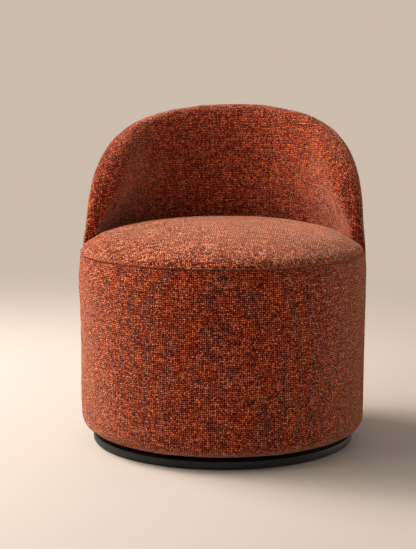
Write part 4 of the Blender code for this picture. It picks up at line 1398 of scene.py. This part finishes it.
# A ring of a rounded rectangle round the Z axis.
def roundedRing(tree, radius, width, thickness, edge, edgeSteps, sides):
    profile = step(tree, "GeometryNodeCurvePrimitiveQuadrilateral", {"Width": width, "Height": thickness})
    profile = step(tree, "GeometryNodeFilletCurve", {"Curve": profile, "Radius": edge, "Count": edgeSteps},
                   mode="POLY")
    path = step(tree, "GeometryNodeCurvePrimitiveCircle", {"Resolution": sides, "Radius": radius})
    return step(tree, "GeometryNodeCurveToMesh", {"Curve": path, "Profile Curve": profile})


# A turned form on the Z axis, its side a superellipse: a high squareness gives a flat disc or pin.
def makeTurnedForm():
    tree, given, result = newForm("turnedForm", [
        ("Radius", floatSocket, 0.01), ("Height", floatSocket, 0.01), ("Squareness", floatSocket, 4.0),
        ("Rows", countSocket, 14), ("Sides", countSocket, 24)])
    line = step(tree, "GeometryNodeResampleCurve", {"Curve": step(tree, "GeometryNodeCurvePrimitiveLine"),
                                                    "Count": given["Rows"]})
    last = calc(tree, "SUBTRACT", given["Rows"], 1.0)
    share = calc(tree, "DIVIDE", step(tree, "GeometryNodeInputIndex"), last)
    level = calc(tree, "COSINE", calc(tree, "MULTIPLY", share, math.pi))  # 1 at the foot, -1 at the head
    size = calc(tree, "POWER", calc(tree, "ABSOLUTE", level), 0.5)
    level = calc(tree, "MULTIPLY", calc(tree, "SIGN", level), size)
    z = calc(tree, "MULTIPLY", calc(tree, "MULTIPLY_ADD", level, -0.5, 0.5), given["Height"])
    width = calc(tree, "POWER", calc(tree, "ABSOLUTE", level), given["Squareness"])
    width = calc(tree, "MAXIMUM", calc(tree, "SUBTRACT", 1.0, width), 0.0)
    width = calc(tree, "POWER", width, calc(tree, "DIVIDE", 1.0, given["Squareness"]))
    line = step(tree, "GeometryNodeSetPosition", {"Geometry": line, "Position": lift(tree, z)})
    circle = step(tree, "GeometryNodeCurvePrimitiveCircle", {"Resolution": given["Sides"], "Radius": 1.0})
    mesh = step(tree, "GeometryNodeCurveToMesh", {
        "Curve": line, "Profile Curve": circle, "Scale": calc(tree, "MULTIPLY", width, given["Radius"])})
    tree.links.new(step(tree, "GeometryNodeMergeByDistance", {"Geometry": mesh, "Distance": 1e-6}), result)
    return tree


turnedForm = makeTurnedForm()


# Rows are the steps up its side, and sides the steps round it.
def turned(tree, radius, height, squareness, rows, sides):
    return useForm(tree, turnedForm, {"Radius": radius, "Height": height, "Squareness": squareness,
                                      "Rows": rows, "Sides": sides})


def makePlinthForm():
    tree, given, result = newForm("plinthForm", [
        ("Outer Radius", floatSocket, 0.28), ("Hole Radius", floatSocket, 0.014),
        ("Thickness", floatSocket, 0.015), ("Edge", floatSocket, 0.0025), ("Low", floatSocket, 0.0033),
        ("Sides", countSocket, 200), ("Finish", finishSocket, None)])
    width = calc(tree, "SUBTRACT", given["Outer Radius"], given["Hole Radius"])
    middle = calc(tree, "MULTIPLY", calc(tree, "ADD", given["Outer Radius"], given["Hole Radius"]), 0.5)
    disc = roundedRing(tree, middle, width, given["Thickness"], given["Edge"], 6, given["Sides"])
    disc = shifted(tree, disc, calc(tree, "MULTIPLY_ADD", given["Thickness"], 0.5, given["Low"]))
    finishForm(tree, disc, given["Finish"], result)
    return tree


def onCircle(tree, angle, radius, level):
    return combine(tree, calc(tree, "MULTIPLY", calc(tree, "SINE", angle), radius),
                   calc(tree, "MULTIPLY", calc(tree, "COSINE", angle), radius), level)


# Glides in pairs round a circle. Sunk is how far a pin starts inside its pad.
def makeGlideForm():
    tree, given, result = newForm("glideForm", [
        ("Pad Radius", floatSocket, 0.01), ("Pad Height", floatSocket, 0.003),
        ("Pin Radius", floatSocket, 0.0012), ("Pin Length", floatSocket, 0.009),
        ("Sunk", floatSocket, 0.001), ("Circle Radius", floatSocket, 0.2645), ("Pairs", countSocket, 4),
        ("Pair Angle", floatSocket, 0.35), ("Turn", floatSocket, 0.0), ("Finish", finishSocket, None)])
    index = step(tree, "GeometryNodeInputIndex")
    side = calc(tree, "SUBTRACT", calc(tree, "FLOORED_MODULO", index, 2.0), 0.5)
    pair = calc(tree, "DIVIDE", calc(tree, "FLOOR", calc(tree, "MULTIPLY", index, 0.5)), given["Pairs"])
    angle = calc(tree, "MULTIPLY_ADD", pair, 2 * math.pi,
                 calc(tree, "MULTIPLY_ADD", side, given["Pair Angle"], given["Turn"]))
    spot = onCircle(tree, angle, given["Circle Radius"], 0.0)
    count = calc(tree, "MULTIPLY", given["Pairs"], 2.0)
    points = step(tree, "GeometryNodePoints", {"Count": count, "Position": spot})
    foot = turned(tree, given["Pad Radius"], given["Pad Height"], 3.2, 17, 40)
    length = calc(tree, "ADD", given["Pin Length"], given["Sunk"])
    pin = turned(tree, given["Pin Radius"], length, 9.0, 9, 12)
    pin = raised(tree, pin, calc(tree, "SUBTRACT", given["Pad Height"], given["Sunk"]))
    finishForm(tree, placeOn(tree, points, joinForms(tree, foot, pin)), given["Finish"], result)
    return tree


# Four screws at the corners of a square. Way is 1 when they point up, -1 down.
def makeScrewForm():
    tree, given, result = newForm("screwForm", [
        ("Reach", floatSocket, 0.08), ("Head Face", floatSocket, 0.02), ("Way", floatSocket, 1.0),
        ("Head Radius", floatSocket, 0.0045), ("Head Height", floatSocket, 0.0022),
        ("Shank Radius", floatSocket, 0.0022), ("Length", floatSocket, 0.012), ("Sunk", floatSocket, 0.0005),
        ("Thread Pitch", floatSocket, 0.0014), ("Thread Depth", floatSocket, 0.0004),
        ("Slot Length", floatSocket, 0.0050), ("Slot Width", floatSocket, 0.0009),
        ("Slot Depth", floatSocket, 0.0011), ("Finish", finishSocket, None)])
    head = turned(tree, given["Head Radius"], given["Head Height"], 3.0, 13, 24)
    long, narrow = given["Slot Length"], given["Slot Width"]
    deep = calc(tree, "MULTIPLY", given["Slot Depth"], 2.0)
    deeper = calc(tree, "ADD", deep, 0.0002)  # so that no two faces of the cross coincide
    for size in (combine(tree, long, narrow, deep), combine(tree, narrow, long, deeper)):
        slot = step(tree, "GeometryNodeMeshCube", {"Size": size})
        head = step(tree, "GeometryNodeMeshBoolean", {"Mesh 1": head, "Mesh 2": slot}, operation="DIFFERENCE")
    length = calc(tree, "ADD", given["Length"], given["Sunk"])
    shank = turned(tree, given["Shank Radius"], length, 12.0, 66, 14)
    spots = split(tree, step(tree, "GeometryNodeInputPosition"))
    turn = calc(tree, "DIVIDE", calc(tree, "ARCTAN2", spots["Y"], spots["X"]), 2 * math.pi)
    wound = calc(tree, "ADD", calc(tree, "DIVIDE", spots["Z"], given["Thread Pitch"]), turn)
    ridge = calc(tree, "PINGPONG", calc(tree, "FRACT", wound), 0.5)
    depth = calc(tree, "MULTIPLY", calc(tree, "MULTIPLY", ridge, given["Thread Depth"]), -2.0)
    outward = calcVector(tree, "NORMALIZE", combine(tree, spots["X"], spots["Y"], 0.0))
    shank = step(tree, "GeometryNodeSetPosition", {"Geometry": shank,
                                                   "Offset": scaleVector(tree, outward, depth)})
    shank = raised(tree, shank, calc(tree, "SUBTRACT", given["Head Height"], given["Sunk"]))
    way = combine(tree, 1.0, given["Way"], given["Way"])  # half a turn about X when it points down
    screw = step(tree, "GeometryNodeTransform", {"Geometry": joinForms(tree, head, shank), "Scale": way})
    across = calc(tree, "MULTIPLY", given["Reach"], 2.0)
    corners = step(tree, "GeometryNodeMeshGrid", {"Size X": across, "Size Y": across,
                                                  "Vertices X": 2, "Vertices Y": 2})
    screws = placeOn(tree, shifted(tree, corners, given["Head Face"]), screw)
    finishForm(tree, screws, given["Finish"], result)
    return tree


def ringPoints(tree, count, radius, level):
    turn = calc(tree, "DIVIDE", step(tree, "GeometryNodeInputIndex"), count)
    angle = calc(tree, "MULTIPLY", turn, 2 * math.pi)
    spot = onCircle(tree, angle, radius, level)
    return step(tree, "GeometryNodePoints", {"Count": count, "Position": spot}), angle


# The bearing's balls, or the cage's pockets for them.
def ballRing(tree, given, radius, fineness):
    points = ringPoints(tree, given["Ball Count"], given["Race Radius"], given["Level"])[0]
    ball = step(tree, "GeometryNodeMeshIcoSphere", {"Radius": radius, "Subdivisions": fineness})
    return placeOn(tree, points, ball)


def makeCageForm():
    tree, given, result = newForm("cageForm", [
        ("Race Radius", floatSocket, 0.06), ("Width", floatSocket, 0.016), ("Thickness", floatSocket, 0.002),
        ("Edge", floatSocket, 0.0006), ("Ball Radius", floatSocket, 0.0045), ("Ball Count", countSocket, 8),
        ("Level", floatSocket, 0.0248), ("Pockets", floatSocket, 1.03), ("Finish", finishSocket, None)])
    ring = roundedRing(tree, given["Race Radius"], given["Width"], given["Thickness"], given["Edge"], 2, 96)
    ring = shifted(tree, ring, given["Level"])
    pocket = calc(tree, "MULTIPLY", given["Ball Radius"], given["Pockets"])
    holes = step(tree, "GeometryNodeRealizeInstances", {"Geometry": ballRing(tree, given, pocket, 3)})
    ring = step(tree, "GeometryNodeMeshBoolean", {"Mesh 1": ring, "Mesh 2": holes}, operation="DIFFERENCE")
    finishForm(tree, ring, given["Finish"], result)
    return tree


def makeBallForm():
    tree, given, result = newForm("ballForm", [
        ("Race Radius", floatSocket, 0.06), ("Ball Radius", floatSocket, 0.0045),
        ("Ball Count", countSocket, 8), ("Level", floatSocket, 0.0248), ("Finish", finishSocket, None)])
    finishForm(tree, ballRing(tree, given, given["Ball Radius"], 4), given["Finish"], result)
    return tree


# Staples that hold the dust cover under the base board, each turned along the edge with a little slip.
def makeStapleForm():
    tree, given, result = newForm("stapleForm", [
        ("Circle Radius", floatSocket, 0.245), ("Count", countSocket, 44), ("Crown", floatSocket, 0.010),
        ("Wire", floatSocket, 0.0006), ("Level", floatSocket, 0.0298), ("Slip", floatSocket, 0.12),
        ("Seed", countSocket, 5), ("Finish", finishSocket, None)])
    points, angle = ringPoints(tree, given["Count"], given["Circle Radius"], given["Level"])
    points = step(tree, "GeometryNodeStoreNamedAttribute", {"Geometry": points, "Name": "along", 3: angle},
                  data_type="FLOAT", domain="POINT")
    low = calc(tree, "MULTIPLY", given["Slip"], -1.0)
    slip = addNode(tree, "FunctionNodeRandomValue", {2: low, 3: given["Slip"], "Seed": given["Seed"]},
                   data_type="FLOAT").outputs[1]
    along = addNode(tree, "GeometryNodeInputNamedAttribute", {"Name": "along"}, data_type="FLOAT").outputs[0]
    wire = turned(tree, given["Wire"], given["Crown"], 7.0, 11, 8)
    start = combine(tree, calc(tree, "MULTIPLY", given["Crown"], -0.5), 0.0, 0.0)
    lying = step(tree, "GeometryNodeTransform", {"Geometry": wire, "Translation": start,
                                                 "Rotation": (0.0, math.pi / 2, 0.0)})
    turn = combine(tree, 0.0, 0.0, calc(tree, "SUBTRACT", slip, along))
    finishForm(tree, placeOn(tree, points, lying, Rotation=turn), given["Finish"], result)
    return tree


def boxOf(name):
    low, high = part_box(name)
    return [float(v) for v in low], [float(v) for v in high]


plinth = {"radius": 0.2837, "hole": 0.014, "edge": 0.0025}
glide = {
    "padRadius": 0.010,
    "padHeight": 0.003,
    "pinRadius": 0.0012,
    "pinLength": 0.009,
    "inset": 0.0192,
    "pairs": 4,
    "pairAngle": math.radians(20.3),
    "turn": math.radians(-1.75),
}
screw = {
    "reach": 0.080,
    "headRadius": 0.0045,
    "headHeight": 0.0022,
    "shankRadius": 0.0022,
    "lowerLength": 0.012,
    "upperLength": 0.018,
}
bearing = {"race": 0.060, "cageWidth": 0.016, "cageThickness": 0.002, "ball": 0.0045, "balls": 8}
staple = {"inset": 0.006, "count": 44, "crown": 0.010, "wire": 0.0006, "pressed": 0.4}

low, high = boxOf("plinth_disc")
growPiece("plinthDisc", makePlinthForm(), {
    "Outer Radius": plinth["radius"], "Hole Radius": plinth["hole"], "Thickness": high[2] - low[2],
    "Edge": plinth["edge"], "Low": low[2], "Finish": blackLacquer}, "base", ["plinth_disc"])
glideNodes = [f"floor_glide_{n}" for n in range(1, 2 * glide["pairs"] + 1)]
growPiece("floorGlides", makeGlideForm(), {
    "Pad Radius": glide["padRadius"], "Pad Height": glide["padHeight"], "Pin Radius": glide["pinRadius"],
    "Pin Length": glide["pinLength"], "Circle Radius": plinth["radius"] - glide["inset"],
    "Pairs": glide["pairs"], "Pair Angle": glide["pairAngle"], "Turn": math.pi + glide["turn"],
    "Finish": glidePlastic}, "base", glideNodes)
screwForm = makeScrewForm()
for name, body, stem, way, length in (
        ("lowerScrews", "base", "lower_plate_screw", -1.0, screw["lowerLength"]),
        ("upperScrews", "chair_body", "upper_plate_screw", 1.0, screw["upperLength"])):
    low, high = boxOf(f"{stem}_1")
    growPiece(name, screwForm, {
        "Reach": screw["reach"], "Head Face": low[2] if way > 0 else high[2], "Way": way,
        "Head Radius": screw["headRadius"], "Head Height": screw["headHeight"],
        "Shank Radius": screw["shankRadius"], "Length": length, "Finish": zincSteel},
        body, [f"{stem}_{n}" for n in range(1, 5)])
low, high = boxOf("ball_cage")
race = {"Race Radius": bearing["race"], "Ball Radius": bearing["ball"], "Ball Count": bearing["balls"],
        "Level": (low[2] + high[2]) / 2}
growPiece("ballCage", makeCageForm(), {
    **race, "Width": bearing["cageWidth"], "Thickness": bearing["cageThickness"], "Finish": nylonWhite},
    "bearing_cage", ["ball_cage"])
growPiece("bearingBalls", makeBallForm(), {**race, "Finish": ballSteel}, "bearing_cage",
          smoothAngle=60)
low, high = boxOf("dust_cover")
growPiece("dustCoverStaples", makeStapleForm(), {
    "Circle Radius": high[0] - staple["inset"], "Count": staple["count"], "Crown": staple["crown"],
    "Wire": staple["wire"], "Level": low[2] - staple["wire"] * staple["pressed"], "Finish": zincSteel},
    "chair_body")
print("plinth, glides, screws, balls and staples grown")


# Floor, lamps and world. The floor fades into the backdrop's colour away from the chair.
studio = {
    "reach": 20.0,  # of the floor
    "floor": (0.525, 0.475, 0.425),
    "backdrop": (0.60, 0.505, 0.415),
    "fadeStart": 1.0,
    "fadeEnd": 2.8,
    "world": 0.36,
    "light": (1.0, 0.93, 0.86),  # colour of the world and the lamps
    "lampAim": (0.0, 0.0, 0.35),
    "lamps": [
        # name, place, size, watts
        ("windowRear", (-2.4, 0.9, 2.6), 1.5, 112.0),
        ("windowSide", (-2.6, 0.1, 2.4), 1.5, 96.0),
        ("frontFill", (-2.3, -1.3, 2.4), 1.5, 30.0),
        ("rearRight", (2.4, 1.2, 0.5), 1.2, 15.0),
    ],
}


def mixShader(tree, factor, first, second):
    return addNode(tree, "ShaderNodeMixShader", {0: factor, 1: first, 2: second}).outputs[0]


def makeFloor(s):
    reach = s["reach"]
    corners = [(-reach, -reach, 0), (reach, -reach, 0), (reach, reach, 0), (-reach, reach, 0)]
    floor = meshFrom("floor", corners, [(0, 1, 2, 3)])
    material, tree, principled = newMaterial("paleFloor", Roughness=0.85, Specular_IOR_Level=0.2)
    principled.inputs["Base Color"].default_value = (*s["floor"], 1.0)
    away = addNode(tree, "ShaderNodeVectorMath", {0: objectPlace(tree)}, operation="LENGTH").outputs["Value"]
    fade = remap(tree, away, s["fadeStart"], s["fadeEnd"], interpolation_type="SMOOTHSTEP")
    glow = addNode(tree, "ShaderNodeEmission", {"Color": (*s["backdrop"], 1.0)}).outputs[0]
    shown = mixShader(tree, fade, principled.outputs[0], glow)
    below = addNode(tree, "ShaderNodeNewGeometry").outputs["Backfacing"]
    clear = addNode(tree, "ShaderNodeBsdfTransparent").outputs[0]  # seen from below, the floor is clear
    tree.links.new(mixShader(tree, below, shown, clear), tree.nodes["Material Output"].inputs["Surface"])
    floor.data.materials.append(material)


def makeWorld(s):
    world = bpy.data.worlds.new("studio")
    world.use_nodes = True
    bpy.context.scene.world = world
    tree = world.node_tree
    plain = tree.nodes["Background"]
    plain.inputs["Color"].default_value = (*s["light"], 1.0)
    plain.inputs["Strength"].default_value = s["world"]
    shown = addNode(tree, "ShaderNodeBackground", {"Color": (*s["backdrop"], 1.0)}).outputs[0]
    path = addNode(tree, "ShaderNodeLightPath").outputs
    seen = calc(tree, "MAXIMUM", path["Is Camera Ray"],
                calc(tree, "MAXIMUM", path["Is Glossy Ray"], path["Is Transmission Ray"]))
    mixed = mixShader(tree, seen, plain.outputs[0], shown)
    tree.links.new(mixed, tree.nodes["World Output"].inputs["Surface"])


def makeLamps(s):
    for name, place, size, watts in s["lamps"]:
        data = bpy.data.lights.new(name, "AREA")
        data.shape = "DISK"
        data.size = size
        data.energy = watts
        data.color = s["light"]
        lamp = bpy.data.objects.new(name, data)
        bpy.context.scene.collection.objects.link(lamp)
        lamp.location = place
        lamp.rotation_mode = "QUATERNION"
        lamp.rotation_quaternion = (Vector(s["lampAim"]) - Vector(place)).to_track_quat("-Z", "Y")


makeFloor(studio)
makeWorld(studio)
makeLamps(studio)
print("studio lit")
